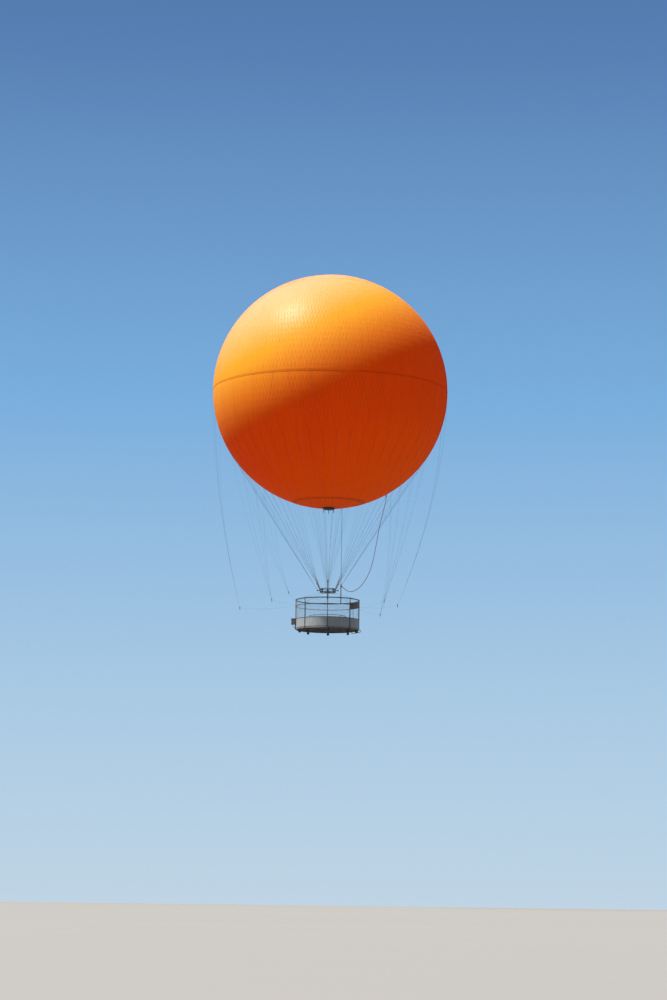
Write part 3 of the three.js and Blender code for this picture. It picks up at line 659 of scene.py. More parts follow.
class Surface(Enum):
    """The finishes that a face can have."""

    UPPER_CLOTH = ClothFinish(0.14, 0.02, 12.5)
    LOWER_CLOTH = ClothFinish(0.06, 0.022, 90.0)
    PATCH_CLOTH = ClothFinish(0.3, 0.03, 6.7)
    # The last colour of the seam tape and of the net rope is their painted sunlit tone.
    SEAM_TAPE = RopeFinish(
        (0.74, 0.056, 0.0005), (0.66, 0.05, 0.0005), 0.1, 0.004, 0.0006, woven=True,
        faded=(0.62, 0.23, 0.012))
    NET_ROPE = RopeFinish(
        (0.72, 0.058, 0.0005), (0.62, 0.05, 0.0005), 0.038, 0.03, 0.0012, faded=(0.75, 0.305, 0.075))
    DARK_ROPE = RopeFinish((0.044, 0.047, 0.056), (0.058, 0.062, 0.072), 0.063, 0.045, 0.002)
    WEBBING = RopeFinish((0.31, 0.4, 0.5), (0.35, 0.44, 0.54), 0.1, 0.005, 0.0008, woven=True)
    GALVANISED = HardFinish(
        (0.19, 0.2, 0.21), (0.14, 0.15, 0.16), 0.55, 0.42, (0.34, 0.35, 0.36), 0.9, 0.6, dust=0.35,
        spangle=0.5)
    BRIGHT_STEEL = HardFinish(
        (0.42, 0.43, 0.44), (0.3, 0.31, 0.32), 0.9, 0.3, (0.6, 0.61, 0.62), 1.0, 0.5, dust=0.2, scale=9.0)
    DARK_STEEL = HardFinish(
        (0.011, 0.019, 0.027), (0.018, 0.028, 0.037), 0.2, 0.5, (0.13, 0.135, 0.14), 0.8, 0.5, dust=0.08,
        scale=7.0)
    # The cladding's last colour is a painted sunlit tone on the side that faces the sun.
    CLADDING = HardFinish(
        (0.16, 0.188, 0.22), (0.142, 0.168, 0.197), 0.05, 0.5, (0.34, 0.35, 0.36), 0.7, 0.5,
        (0.08, 0.08, 0.078), 0.2, 0.3, scale=1.2, relief=0.0004, painted_sunlight_tint=(0.29, 0.315, 0.325))
    EDGE_TRIM = HardFinish(
        (0.128, 0.128, 0.122), (0.106, 0.106, 0.102), 0.2, 0.55, (0.24, 0.22, 0.2), 0.7, 0.7, dust=0.2,
        streaks=0.3, scale=3.0)
    UNDERSIDE = HardFinish(
        (0.036, 0.032, 0.03), (0.048, 0.043, 0.04), 0.1, 0.7, (0.12, 0.12, 0.12), 0.5, 0.4, dust=0.2,
        scale=2.5, relief=0.0006)
    TREAD = HardFinish(
        (0.06, 0.056, 0.052), (0.085, 0.08, 0.074), 0.0, 0.8, (0.15, 0.15, 0.145), 0.3, 0.4, dust=0.5,
        scale=2.0, relief=0.002)
    BROWN_PANEL = HardFinish(
        (0.05, 0.033, 0.034), (0.064, 0.042, 0.042), 0.0, 0.5, (0.12, 0.08, 0.06), 0.1, 0.6, dust=0.1,
        scale=3.0, relief=0.0006, stretch=(1.0, 1.0, 14.0))
    BLACK_PLASTIC = HardFinish(
        (0.012, 0.013, 0.015), (0.02, 0.021, 0.023), 0.0, 0.55, (0.07, 0.07, 0.072), 0.0, 0.5, dust=0.35,
        scale=5.0)
    HOSE_RUBBER = HardFinish(
        (0.23, 0.195, 0.33), (0.26, 0.22, 0.37), 0.0, 0.6, (0.06, 0.06, 0.06), 0.0, 0.4, dust=0.4,
        scale=4.0, relief=0.0005, weave=0.006)
    TYRE_RUBBER = HardFinish(
        (0.013, 0.013, 0.014), (0.026, 0.025, 0.024), 0.0, 0.85, (0.06, 0.058, 0.055), 0.0, 0.5,
        (0.12, 0.1, 0.08), 0.5, scale=12.0, relief=0.0006)
    NETTING = RopeFinish((0.3, 0.34, 0.4), (0.24, 0.28, 0.34), 0.016, 0.012, 0.0006)
    RING_TAPE = RopeFinish((0.66, 0.07, 0.0005), (0.6, 0.064, 0.0005), 0.1, 0.004, 0.0006, woven=True)
    FLOOR = HardFinish(
        (0.235, 0.222, 0.205), (0.22, 0.208, 0.193), 0.0, 0.9, wear=0.0, dust=0.0, scale=0.01, relief=0.001)
    CASE_PAINT = HardFinish(
        (0.052, 0.072, 0.086), (0.062, 0.083, 0.098), 0.0, 0.5, (0.15, 0.155, 0.16), 0.3, 0.5, dust=0.2,
        streaks=0.3, scale=4.0)

    @property
    def number(self) -> int:
        """The finish's place in this list."""
        return list(Surface).index(self)


# Closed shapes


@dataclass
class Shape:
    """Closed surfaces of one piece, kept as flat arrays.

    Attributes:
        points: Vertices, (n, 3).
        corners: Vertex numbers of all faces, one face after another.
        sizes: Corners in each face.
        chart: Surface coordinates of each corner, in metres unless a maker says otherwise.
        finish: Surface number of each face.
    """

    points: Array
    corners: Array
    sizes: Array
    chart: Array
    finish: Array

    def painted(self, surface: Surface) -> "Shape":
        """The same shape, all in one finish."""
        return replace(self, finish=np.full(len(self.sizes), surface.number))

    def moved(self, offset: Array) -> "Shape":
        """The same shape, moved."""
        return replace(self, points=self.points + offset)

    def outward(self) -> "Shape":
        """The same shape with its faces pointing out.

        Six times the signed volume is each face's first point dotted with the sum of its
        corners' crosses, and where it is negative the faces are read backwards.

        Returns:
            The shape, or a copy of it that is turned right side out.
        """
        starts = np.cumsum(self.sizes) - self.sizes
        following = np.arange(len(self.corners)) + 1
        following[starts + self.sizes - 1] = starts
        here = self.points[self.corners]
        edges = np.add.reduceat(np.cross(here, here[following]), starts, axis=0)
        if float((here[starts] * edges).sum()) >= 0:
            return self
        turned_round = (part[::-1].copy() for part in (self.corners, self.sizes, self.chart, self.finish))
        return Shape(self.points, *turned_round)


def joined(*shapes: Shape) -> Shape:
    """Several shapes as one, each numbered past the one before.

    Args:
        shapes: The shapes.

    Returns:
        All their faces in one shape.
    """
    offsets = np.cumsum([0] + [len(shape.points) for shape in shapes[:-1]])
    moved = [replace(shape, corners=shape.corners + offset) for shape, offset in zip(shapes, offsets)]
    return Shape(*(np.concatenate([getattr(shape, part) for shape in moved])
                   for part in ("points", "corners", "sizes", "chart", "finish")))


def dressed(**groups: list[Shape]) -> Shape:
    """Several lots of shapes as one, each lot in the surface that its keyword names."""
    return joined(*(joined(*shapes).painted(Surface[name]) for name, shapes in groups.items()))


def copies(shape: Shape, points: Array) -> Shape:
    """A shape's faces repeated over other points.

    Args:
        shape: The shape.
        points: Points of all the copies, (copies, points, 3).

    Returns:
        The copies as one shape.
    """
    count = len(points)
    offsets = np.arange(count)[:, None] * len(shape.points)
    return Shape(points.reshape(-1, 3), (offsets + shape.corners).ravel(), np.tile(shape.sizes, count),
                 np.tile(shape.chart, (count, 1)), np.tile(shape.finish, count))


def scattered(shape: Shape, places: Array, frames: Array = np.eye(3)) -> Shape:
    """Copies of a shape: each place plus its frame times the shape's points.

    Args:
        shape: The shape, about its own origin.
        places: Where its origin goes, (n, 3).
        frames: Its axes there, (n, 3, 3) or one (3, 3).

    Returns:
        All the copies as one shape.
    """
    places = np.atleast_2d(places)
    frames = np.broadcast_to(frames, (len(places), 3, 3))
    return copies(shape, places[:, None] + np.einsum("nij,pj->npi", frames, shape.points))


def grid(points: Array, wrap_rows: bool = False, along: Array | None = None,
         around: Array | None = None) -> Shape:
    """Closed tubes of quads over grids of points whose columns close on themselves.

    Args:
        points: Places, (rows, columns, 3) or (tubes, rows, columns, 3).
        wrap_rows: Whether the last row joins the first; otherwise both ends get a cap.
        along: Chart value of each row, and of the closing row; the distance if left out.
        around: Chart value of each column and the closing one; the distance if left out.

    Returns:
        The shape, with its faces pointing out.
    """
    points = points[None] if points.ndim == 3 else points
    _, rows, columns, _ = points.shape
    along = travelled(points[0, :, 0], wrap_rows) if along is None else along
    around = travelled(points[0, rows // 2], True) if around is None else around
    row = np.arange(rows if wrap_rows else rows - 1)[:, None]
    column = np.arange(columns)[None, :]
    low, high, right = row * columns, (row + 1) % rows * columns, (column + 1) % columns
    quads = np.stack([low + column, high + column, high + right, low + right], axis=-1)
    u = np.stack([around[column + side] + 0 * row for side in (0, 0, 1, 1)], -1)
    v = np.stack([along[row + side] + 0 * column for side in (0, 1, 1, 0)], -1)
    corners, sizes = quads.ravel(), np.full(quads.size // 4, 4)
    chart = np.stack([u.ravel(), v.ravel()], axis=-1)
    if not wrap_rows:
        caps = [np.arange(columns), (rows - 1) * columns + np.arange(columns)[::-1]]
        edges = [paired(around[:-1], along[0]), paired(around[:-1][::-1], along[-1])]
        corners, sizes = np.concatenate([corners, *caps]), np.append(sizes, [columns, columns])
        chart = np.concatenate([chart, *edges])
    one = Shape(points[0].reshape(-1, 3), corners, sizes, chart, np.zeros(len(sizes), int)).outward()
    return copies(one, points)


def rounded(outline: Array, reach: float, steps: int = 2) -> Array:
    """A closed outline with each corner turned into a short parabola.

    Args:
        outline: Corners, (n, 2).
        reach: How far from its corner each curve starts.
        steps: Straight pieces in each curve.

    Returns:
        The points of the rounded outline.
    """
    outline = np.asarray(outline, float)
    start, end = (outline + unit(np.roll(outline, way, axis=0) - outline) * reach for way in (1, -1))
    t = np.linspace(0.0, 1.0, steps + 1)[None, :, None]
    curve = (1 - t) ** 2 * start[:, None] + 2 * t * (1 - t) * outline[:, None] + t**2 * end[:, None]
    return curve.reshape(-1, 2)


def rectangle(inner: float, outer: float, low: float, high: float, reach: float, steps: int = 2) -> Array:
    """A rectangle between two radii and two heights, with its corners bevelled or rounded."""
    return rounded([[inner, low], [outer, low], [outer, high], [inner, high]], reach, steps)


def oblong(width: float, depth: float, bevel: float) -> Array:
    """A rectangle about the origin with its corners bevelled."""
    return rectangle(-width / 2, width / 2, -depth / 2, depth / 2, bevel, 1)


def circle(radius: float, sides: int) -> Array:
    """A round outline about the origin."""
    turn = np.arange(sides) * 2 * np.pi / sides
    return radius * np.stack([np.cos(turn), np.sin(turn)], axis=-1)


def swept(paths: Array, section: Array, up: Array = UP, closed: bool = False,
          scale: Array | None = None) -> Shape:
    """A section carried along paths: each path point plus x times the side plus y times the lift.

    Args:
        paths: Points of each path, (m, 3) or (k, m, 3).
        section: Outline, (s, 2).
        up: Direction that the section's y stays nearest to.
        closed: Whether each path closes on itself.
        scale: Factor on the section at each point, (m,) or (m, 2).

    Returns:
        The closed tubes.
    """
    paths = paths[None] if paths.ndim == 2 else paths
    ahead = np.roll(paths, -1, axis=1) - np.roll(paths, 1, axis=1) if closed else np.gradient(paths, axis=1)
    ahead = unit(ahead)
    side = unit(np.cross(ahead, np.broadcast_to(up, paths.shape)))
    lift = np.cross(side, ahead)
    factor = np.ones((1, 1, 1)) if scale is None else np.reshape(scale, (paths.shape[1], 1, -1))
    outline = section * factor
    points = paths[:, :, None] + side[:, :, None] * outline[..., 0:1] + lift[:, :, None] * outline[..., 1:2]
    return grid(points, closed)


def bars(starts: Array, ends: Array, width: float, depth: float, up: Array = UP,
         bevel: float = 0.003) -> Shape:
    """Straight bars with all their edges bevelled.

    Args:
        starts: Middles of the first ends, (n, 3).
        ends: Middles of the other ends, (n, 3).
        width: Width across up.
        depth: Depth along up.
        up: Direction of the depth, one for all or one for each bar.
        bevel: Width of the bevels.

    Returns:
        The bars.
    """
    starts, ends, up = np.atleast_2d(starts), np.atleast_2d(ends), np.asarray(up)
    length = np.linalg.norm(ends - starts, axis=1)[:, None]
    stations = np.hstack([0 * length, 0 * length + bevel, length - bevel, length])
    paths = starts[:, None] + ((ends - starts) / length)[:, None] * stations[..., None]
    end_face = (1 - 2 * bevel / width, 1 - 2 * bevel / depth)
    return swept(paths, oblong(width, depth, bevel), up if up.ndim == 1 else up[:, None],
                 scale=np.array([end_face, (1, 1), (1, 1), end_face]))


def blocks(inner: float, outer: float, width: float, low: float, high: float,
           azimuth: Number, bevel: float = 0.003) -> Shape:
    """Bevelled blocks between two radii and two heights, centred on azimuths."""
    start, end = (polar(radius, azimuth, (low + high) / 2) for radius in (inner, outer))
    return bars(start, end, width, high - low, bevel=bevel)


def rods(starts: Array, ends: Array, radius: float, sides: int = 8) -> Shape:
    """Straight round bars.

    Args:
        starts: Middles of the first ends, (n, 3).
        ends: Middles of the other ends, (n, 3).
        radius: Their radius.
        sides: Flats round each.

    Returns:
        The bars.
    """
    paths = np.stack([np.atleast_2d(starts), np.atleast_2d(ends)], axis=1)
    steep = np.abs(unit(paths[:, 1] - paths[:, 0])[:, 2:]) > 0.9
    return swept(paths, circle(radius, sides), np.where(steep, RIGHT, UP)[:, None])


def pegs(middle: Array, reach: Array, radius: float, sides: int = 8) -> Shape:
    """Straight round bars that reach equally far both ways from their middles."""
    return rods(middle - reach, middle + reach, radius, sides)


def turned(profile: Array, segments: int, closed: bool = False) -> Shape:
    """A profile of radius and height turned about Z.

    Args:
        profile: Radius and height of its points, (n, 2).
        segments: Steps round the axis.
        closed: Whether it closes on itself; otherwise its ends get a cap each.

    Returns:
        The turned shape.
    """
    radius, height = np.moveaxis(np.asarray(profile, float)[:, None], -1, 0)
    turn = np.arange(segments) * 2 * np.pi / segments
    parts = np.broadcast_arrays(radius * np.cos(turn), radius * np.sin(turn), height)
    return grid(np.stack(parts, axis=-1), closed)


def arcs(section: Array, start: Number, stop: Number, steps: int) -> Shape:
    """Curved walls: a section carried round the Z axis.

    Args:
        section: Radius and height of its points, (n, 2).
        start: Azimuth of each wall's first end.
        stop: Azimuth of each wall's other end.
        steps: Steps between them.

    Returns:
        The walls.
    """
    start, stop = (np.atleast_1d(end)[:, None, None] for end in (start, stop))
    azimuth = start + (stop - start) * (np.arange(steps + 1) / steps)[None, :, None]
    return grid(polar(section[:, 0], azimuth, section[:, 1]))


def hoop(radius: float, tube: float, height: float, segments: int, sides: int = 6) -> Shape:
    """A ring of round tube."""
    return turned(circle(tube, sides) + (radius, height), segments, closed=True)


def hex_head(radius: float, height: float) -> Shape:
    """A bolt head with a chamfered top, standing on its origin."""
    return turned([[radius, 0], [radius, 0.75 * height], [0.8 * radius, height]], 6)


def dome_head(radius: float, height: float) -> Shape:
    """A rivet head, standing on its origin."""
    return turned([[radius, 0], [0.86 * radius, 0.6 * height], [0.4 * radius, height]], 8)


def facing_out(shape: Shape, radius: float, azimuth: Number, height: Number) -> Shape:
    """Copies of a shape on an upright round wall, their tops facing away from its axis."""
    return scattered(shape, polar(radius, azimuth, height), frames_towards(outwards(azimuth)))


# Pieces and the stage


def new_object(name: str, data: bpy.types.ID) -> bpy.types.Object:
    """An object in the scene, at the origin."""
    made = bpy.data.objects.new(name, data)
    bpy.context.scene.collection.objects.link(made)
    return made


class Workshop:
    """Turns shapes into finished pieces; holds the materials that are already made."""

    def __init__(self) -> None:
        """Starts with the shared effects and no material."""
        self.effects = Effects()
        self.made: dict[Surface, Material] = {}

    def material(self, surface: Surface) -> Material:
        """The material of a finish, built on its first use."""
        if surface not in self.made:
            self.made[surface] = surface.value.build(surface.name.lower(), self.effects)
        return self.made[surface]

    def mesh_object(self, name: str, shape: Shape, sharp: float = 38.0) -> bpy.types.Object:
        """A mesh object with its chart, its materials and smooth shading.

        Args:
            name: Its name.
            shape: Its closed surfaces.
            sharp: Angle in degrees past which an edge stays sharp.

        Returns:
            The object.
        """
        mesh = bpy.data.meshes.new(name)
        used = np.unique(shape.finish)
        mesh.vertices.add(len(shape.points))
        mesh.loops.add(len(shape.corners))
        mesh.polygons.add(len(shape.sizes))
        mesh.vertices.foreach_set("co", shape.points.astype(np.float32).ravel())
        mesh.loops.foreach_set("vertex_index", shape.corners.astype(np.int32))
        mesh.polygons.foreach_set("loop_start", (np.cumsum(shape.sizes) - shape.sizes).astype(np.int32))
        mesh.polygons.foreach_set("material_index", np.searchsorted(used, shape.finish).astype(np.int32))
        mesh.polygons.foreach_set("use_smooth", np.ones(len(shape.sizes), bool))
        mesh.update(calc_edges=True)
        mesh.uv_layers.new(name=CHART).uv.foreach_set("vector", shape.chart.astype(np.float32).ravel())
        mesh.set_sharp_from_angle(angle=radians(sharp))
        for number in used:
            mesh.materials.append(self.material(list(Surface)[number]))
        return new_object(name, mesh)

    def piece(self, name: str, shape: Shape, slot: Slot, *replaced: str, body: str = "balloon",
              sharp: float = 38.0) -> bpy.types.Object:
        """A piece of the balloon.

        Args:
            name: The piece's name.
            shape: Its closed surfaces.
            slot: The record's slot that its finish belongs to; not used.
            replaced: CAD nodes that it stands for.
            body: The CAD body that it rides on.
            sharp: Angle in degrees past which an edge stays sharp.

        Returns:
            The object.
        """
        made = self.mesh_object(name, shape, sharp)
        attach(made, body)
        if replaced:
            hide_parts(*replaced)
        log.info("%-26s %7d triangles on %s", name, int((shape.sizes - 2).sum()), body)
        return made


@dataclass
class Stage:
    """Camera at floor level, sun, sky light and the pale floor."""

    camera_place: Point = (0.0, -255.3, -47.77)
    focal_pixels: float = 2760.0
    photo_height: float = 1000.0
    sensor: float = 36.0
    pitch: float = 8.36
    yaw: float = degrees(4.65 / 2760.0)
    roll: float = degrees(0.0125)
    floor_height: float = -47.87
    floor_radius: float = 12000.0
    sun_strength: float = 7.6
    sun_width: float = 1.6
    sun_colour: Colour = (1.0, 0.98, 0.94)
    sky_light: float = 0.44
    sky_colour: Colour = (0.88, 0.98, 1.16)
    backdrop: tuple[tuple[float, Colour], ...] = (
        (0.0, (0.52, 0.66, 0.78)), (0.073, (0.4, 0.59, 0.775)), (0.181, (0.195, 0.423, 0.723)),
        (0.299, (0.1, 0.219, 0.462)), (0.36, (0.075, 0.165, 0.37)))

    def build(self, shop: Workshop) -> None:
        """Makes everything of the stage.

        Args:
            shop: Makes the floor's mesh.
        """
        self.camera()
        self.sun()
        self.sky()
        self.floor(shop)

    def camera(self) -> None:
        """The camera: its lens in pixels of the photograph's height, its aim and its small roll."""
        data = bpy.data.cameras.new("camera")
        data.sensor_width, data.sensor_fit = self.sensor, "AUTO"
        data.lens = self.focal_pixels * self.sensor / self.photo_height
        data.clip_start, data.clip_end = 0.5, 3 * self.floor_radius
        made = new_object("camera", data)
        aim = Matrix.Rotation(-radians(self.yaw), 4, "Z") @ Matrix.Rotation(radians(90 + self.pitch), 4, "X")
        turn = aim @ Matrix.Rotation(radians(self.roll), 4, "Z")
        made.matrix_world = Matrix.Translation(self.camera_place) @ turn
        bpy.context.scene.camera = made

    def sun(self) -> None:
        """A soft sun, narrow enough for the envelope's shadow to end on the parapet."""
        data = bpy.data.lights.new("sun", "SUN")
        data.energy, data.angle, data.color = self.sun_strength, radians(self.sun_width), self.sun_colour
        new_object("sun", data).rotation_euler = Vector(SUNNY_SIDE).to_track_quat("Z", "Y").to_euler()

    def sky(self) -> None:
        """Even sky light, and for the camera alone a plain backdrop that deepens with height."""
        world = bpy.data.worlds.new("sky")
        world.use_nodes = True
        bpy.context.scene.world = world
        bpy.context.scene.view_settings.view_transform = "Standard"
        board = Board(world.node_tree)
        light = board.tree.nodes["Background"]
        board.feed(light.inputs["Color"], self.sky_colour)
        board.feed(light.inputs["Strength"], self.sky_light)
        height = board.split(board.add("TexCoord")["Generated"])[2]
        reach = self.backdrop[-1][0]
        ramp = board.node("ValToRGB", Fac=board.scaled(height, 0.0, reach))
        stops = ramp.color_ramp.elements
        stops.remove(stops[1])
        stops[0].color = (*self.backdrop[0][1], 1.0)
        for level, shade in self.backdrop[1:]:
            stops.new(level / reach).color = (*shade, 1.0)
        backdrop = board.add("Background", Color=ramp.outputs[0], Strength=1.0)
        seen = board.add("LightPath")["Is Camera Ray"]
        mixed = board.fed(board.node("MixShader"), seen, light.outputs[0], backdrop[0])
        board.feed(board.tree.nodes["World Output"].inputs[0], mixed[0])

    def floor(self, shop: Workshop) -> None:
        """A wide pale disc, thin and closed, its rings closer together near the middle.

        Args:
            shop: Makes the mesh.
        """
        radii = self.floor_radius * np.linspace(0.001, 1.0, 12) ** 2
        profile = np.vstack([np.stack([radii, 0 * radii], -1), [[self.floor_radius, -1.0], [0.1, -1.0]]])
        disc = turned(profile, 48).moved((0, 0, self.floor_height)).painted(Surface.FLOOR)
        shop.mesh_object("floor", disc)


# Hose, envelope and lines


@dataclass
class ServiceHose:
    """The slack gas hose from its fitting on the envelope to the sleeve on the control line."""

    start: Point = (5.385656, 1.828184, -9.638625)
    end: Point = (1.395774, 2.669475, -18.141039)
    before_end: Point = (1.514233, 2.661471, -18.248292)
    lead: float = 0.25
    radius: float = 0.03
    groove: float = 0.0024
    rib: float = 0.04
    sides: int = 12
    length: float = 10.84
    knots: tuple[Point, ...] = (
        (5.27, 1.88, -10.45), (5.08, 1.95, -11.25), (4.83, 1.99, -12.25), (4.65, 2.02, -13.3),
        (4.47, 2.05, -14.32), (4.27, 2.1, -15.4), (4.03, 2.16, -16.35), (3.75, 2.23, -17.05),
        (3.42, 2.31, -17.62), (3.05, 2.39, -18.09), (2.65, 2.47, -18.4), (2.23, 2.55, -18.56),
        (1.83, 2.61, -18.48))

    def route(self) -> Array:
        """The hose's centre line."""
        lead = np.subtract(self.start, (0, 0, self.lead))
        return catmull_rom(np.array([self.start, lead, *self.knots, self.before_end, self.end]), 24)

    def build(self, shop: Workshop) -> None:
        """A round tube whose radius dips between close ribs.

        Args:
            shop: Makes the piece.
        """
        fine = self.route()
        walk = travelled(fine, closed=False)
        count = 2 * ceil(walk[-1] / self.rib)
        places = np.linspace(0.0, walk[-1], count + 1)
        path = np.stack([np.interp(places, walk, part) for part in fine.T], axis=-1)
        scale = np.where(np.arange(count + 1) % 2 == 1, 1.0 - self.groove / self.radius, 1.0)
        tube = swept(path, circle(self.radius, self.sides), BACK, scale=scale)
        hose = shop.piece("service_hose_ribbed", tube.painted(Surface.HOSE_RUBBER), Slot.BLACK_PLASTIC,
                          "service_hose")
        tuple(self.start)


@dataclass(frozen=True)
class NetBand:
    """A belt of diamond mesh: two families of strands that lean opposite ways.

    Attributes:
        cells: Diamonds round the belt.
        low: Latitude of its lower edge.
        high: Latitude of its upper edge.
        tall: Height of a diamond, in degrees.
        phase: Azimuth of a knot on the lower edge.
    """

    cells: int
    low: float
    high: float
    tall: float = 6.25
    phase: float = 0.9375

    def steps(self) -> Array:
        """Half diamonds counted from the lower edge, up to the upper one."""
        return np.arange(round((self.high - self.low) / self.tall * 2) + 1)

    def strands(self, radius: float) -> Array:
        """Points (2 cells, steps + 1, 3) of the strands, which lean half a diamond each step."""
        start, lean = spread(self.cells, self.phase)[:, None], 180.0 / self.cells * self.steps()
        return on_sphere(radius, np.concatenate([start + lean, start - lean]),
                         self.low + self.steps() * self.tall / 2)

    def knots(self) -> tuple[Array, Array]:
        """Azimuths and latitudes of the crossings, every other row half a cell further round."""
        step = self.steps()[:, None]
        azimuth = spread(self.cells, self.phase) + 180.0 / self.cells * (step % 2)
        return azimuth.ravel(), (self.low + step * self.tall / 2 + 0 * azimuth).ravel()

    def pillow(self, azimuth: Array, latitude: Array) -> Array:
        """0 on the strands and 1 in the middle of a diamond: the product of two sines.

        Args:
            azimuth: Where to look, in degrees.
            latitude: The same, (rows, 1).

        Returns:
            The pillow's height, softly ended at the band's two edges.
        """
        turn, rise = (azimuth - self.phase) * self.cells / 360.0, (latitude - self.low) / self.tall
        inside = window(latitude, self.low, self.high, 0.8)
        return np.abs(np.sin(np.pi * (turn + rise)) * np.sin(np.pi * (turn - rise))) * inside


@dataclass
class Envelope:
    """The round gas envelope with its belt, net, bottom patch, crown plate and valve."""

    radius: float = field(default_factory=lambda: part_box("envelope_upper")[1].x)
    wall: float = 0.01
    columns: int = 768
    panels: int = 96
    inner_rows: int = 10
    swell: float = 0.016
    gore_swell: float = 0.004
    tangent: float = -32.965306
    rope: float = 0.006
    knot: Point = (0.017, 0.026, 0.013)
    upper_net: NetBand = NetBand(192, 0.0, 62.5)
    crown_net: NetBand = NetBand(96, 62.5, 81.25)
    lower_net: NetBand = NetBand(192, -18.75, 0.0)
    belt_edge: float = 0.36
    patch_radius: float = 3.02
    patch_thickness: float = 0.006
    ring_tape: float = 0.44
    ring_latitude: float = -73.0
    neck_radius: float = 0.48
    crown_radius: float = 0.45
    belt_rows: tuple[float, ...] = (-0.045, 0.045)

    def build(self, shop: Workshop) -> None:
        """Makes every piece of the envelope.

        Args:
            shop: Makes the pieces.
        """
        shop.piece("envelope_upper_cloth", self.upper_cloth(), Slot.ENVELOPE, "envelope_upper", sharp=170)
        shop.piece("envelope_lower_cloth", self.lower_cloth(), Slot.ENVELOPE, "envelope_lower", sharp=170)
        shop.piece("equator_belt", self.belt(), Slot.SEAM, "equator_band")
        shop.piece("bottom_patch", self.patch(), Slot.ENVELOPE, "lower_patch", sharp=60)
        shop.piece("net_upper", self.net(self.upper_net), Slot.ROPE)
        shop.piece("net_crown", self.crown_ropes(), Slot.ROPE)
        shop.piece("net_lower", self.net(self.lower_net), Slot.ROPE)
        shop.piece("net_crow_feet", self.crow_feet(), Slot.ROPE)
        shop.piece("crown_cap", self.crown_cap(), Slot.RING_STEEL, "crown_plate")
        shop.piece("valve_ring", self.valve_ring(), Slot.BLACK_PLASTIC, "valve_flange")
        shop.piece("gas_valve", self.valve(), Slot.BLACK_PLASTIC, "valve_body")

    def shell(self, outer: Array, inner: Array, outer_rows: Array, inner_rows: Array) -> Shape:
        """A closed shell of two skins.

        Args:
            outer: Points of the outer skin, (rows, columns, 3).
            inner: Points of the inner one, from the last row back to the first.
            outer_rows: Latitudes of the outer rows.
            inner_rows: Latitudes of the inner rows.

        Returns:
            The shell, on a chart of panel number and latitude.
        """
        around = np.arange(outer.shape[1] + 1) * self.panels / self.columns
        along = np.concatenate([outer_rows, inner_rows, outer_rows[:1]])
        return grid(np.concatenate([outer, inner]), True, along, around)

    def skin(self, latitudes: Array, swell: Array) -> Shape:
        """A half's cloth: the sphere plus its swell outside, the plain sphere less the wall inside.

        Args:
            latitudes: Latitudes of the outer rows.
            swell: How far each point is pushed out, (rows, columns).

        Returns:
            The closed shell.
        """
        azimuth, inner = spread(self.columns), np.linspace(latitudes[-1], latitudes[0], self.inner_rows)
        return self.shell(on_sphere(self.radius + swell, azimuth, latitudes[:, None]),
                          on_sphere(self.radius - self.wall, azimuth, inner[:, None]), latitudes, inner)

    def upper_cloth(self) -> Shape:
        """The upper half, pushed out between the net's ropes.

        Returns:
            The half's shell.
        """
        step, top = self.upper_net.tall / 8, self.crown_net.high
        fine = np.arange(round(top / step) + 1) * step
        closing = np.linspace(top, latitude_of(self.crown_radius, self.radius), 4)[1:]
        latitudes = np.concatenate([[0.002], fine[1:], closing])
        azimuth, level = spread(self.columns), latitudes[:, None]
        pillows = self.upper_net.pillow(azimuth, level) + 0.8 * self.crown_net.pillow(azimuth, level)
        belt_fade = smooth_step((level - self.belt_edge) / 0.8)
        return self.skin(latitudes, self.swell * pillows * belt_fade).painted(Surface.UPPER_CLOTH)

    def lower_cloth(self) -> Shape:
        """The lower half: pillows in the net, then a shallow swell between the vertical tapes.

        Returns:
            The half's shell.
        """
        step, net_end = self.lower_net.tall / 8, self.lower_net.low
        fine = -np.arange(round(-net_end / step) + 1) * step
        middle = np.linspace(net_end, self.tangent, 10)[1:]
        closing = np.linspace(self.tangent, -latitude_of(self.neck_radius, self.radius), 24)[1:]
        latitudes = np.concatenate([[-0.002], fine[1:], middle, closing])
        azimuth, level = spread(self.columns), latitudes[:, None]
        pillows = self.lower_net.pillow(azimuth, level) * smooth_step((-self.belt_edge - level) / 0.8)
        gores = np.abs(np.sin(np.pi * azimuth * self.panels / 360.0)) * window(level, -72.0, -14.0, 6.0)
        swell = self.swell * pillows + self.gore_swell * gores * smooth_step((-level - 10.0) / 14.0)
        return self.skin(latitudes, swell).painted(Surface.LOWER_CLOTH)

    def belt(self) -> Shape:
        """The equator's belt: a flat webbing ring with two stitched ridges and loops for the ropes.

        Returns:
            The belt.
        """
        low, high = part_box("equator_band")
        inner, outer, half = self.radius + SEAT, high.x, (high.z - low.z) / 2
        band = turned(rectangle(inner, outer - 0.003, -half, half, 0.003), 192, True)
        ridges = [turned(oblong(0.005, 0.012, 0.002) + (outer - 0.0025, height), 192, True)
                  for height in self.belt_rows]
        loops = blocks(outer - 0.004, outer, 0.06, 0.012 - half, half - 0.012, spread(96, 1.875), 0.0012)
        return dressed(SEAM_TAPE=[band, *ridges, loops])

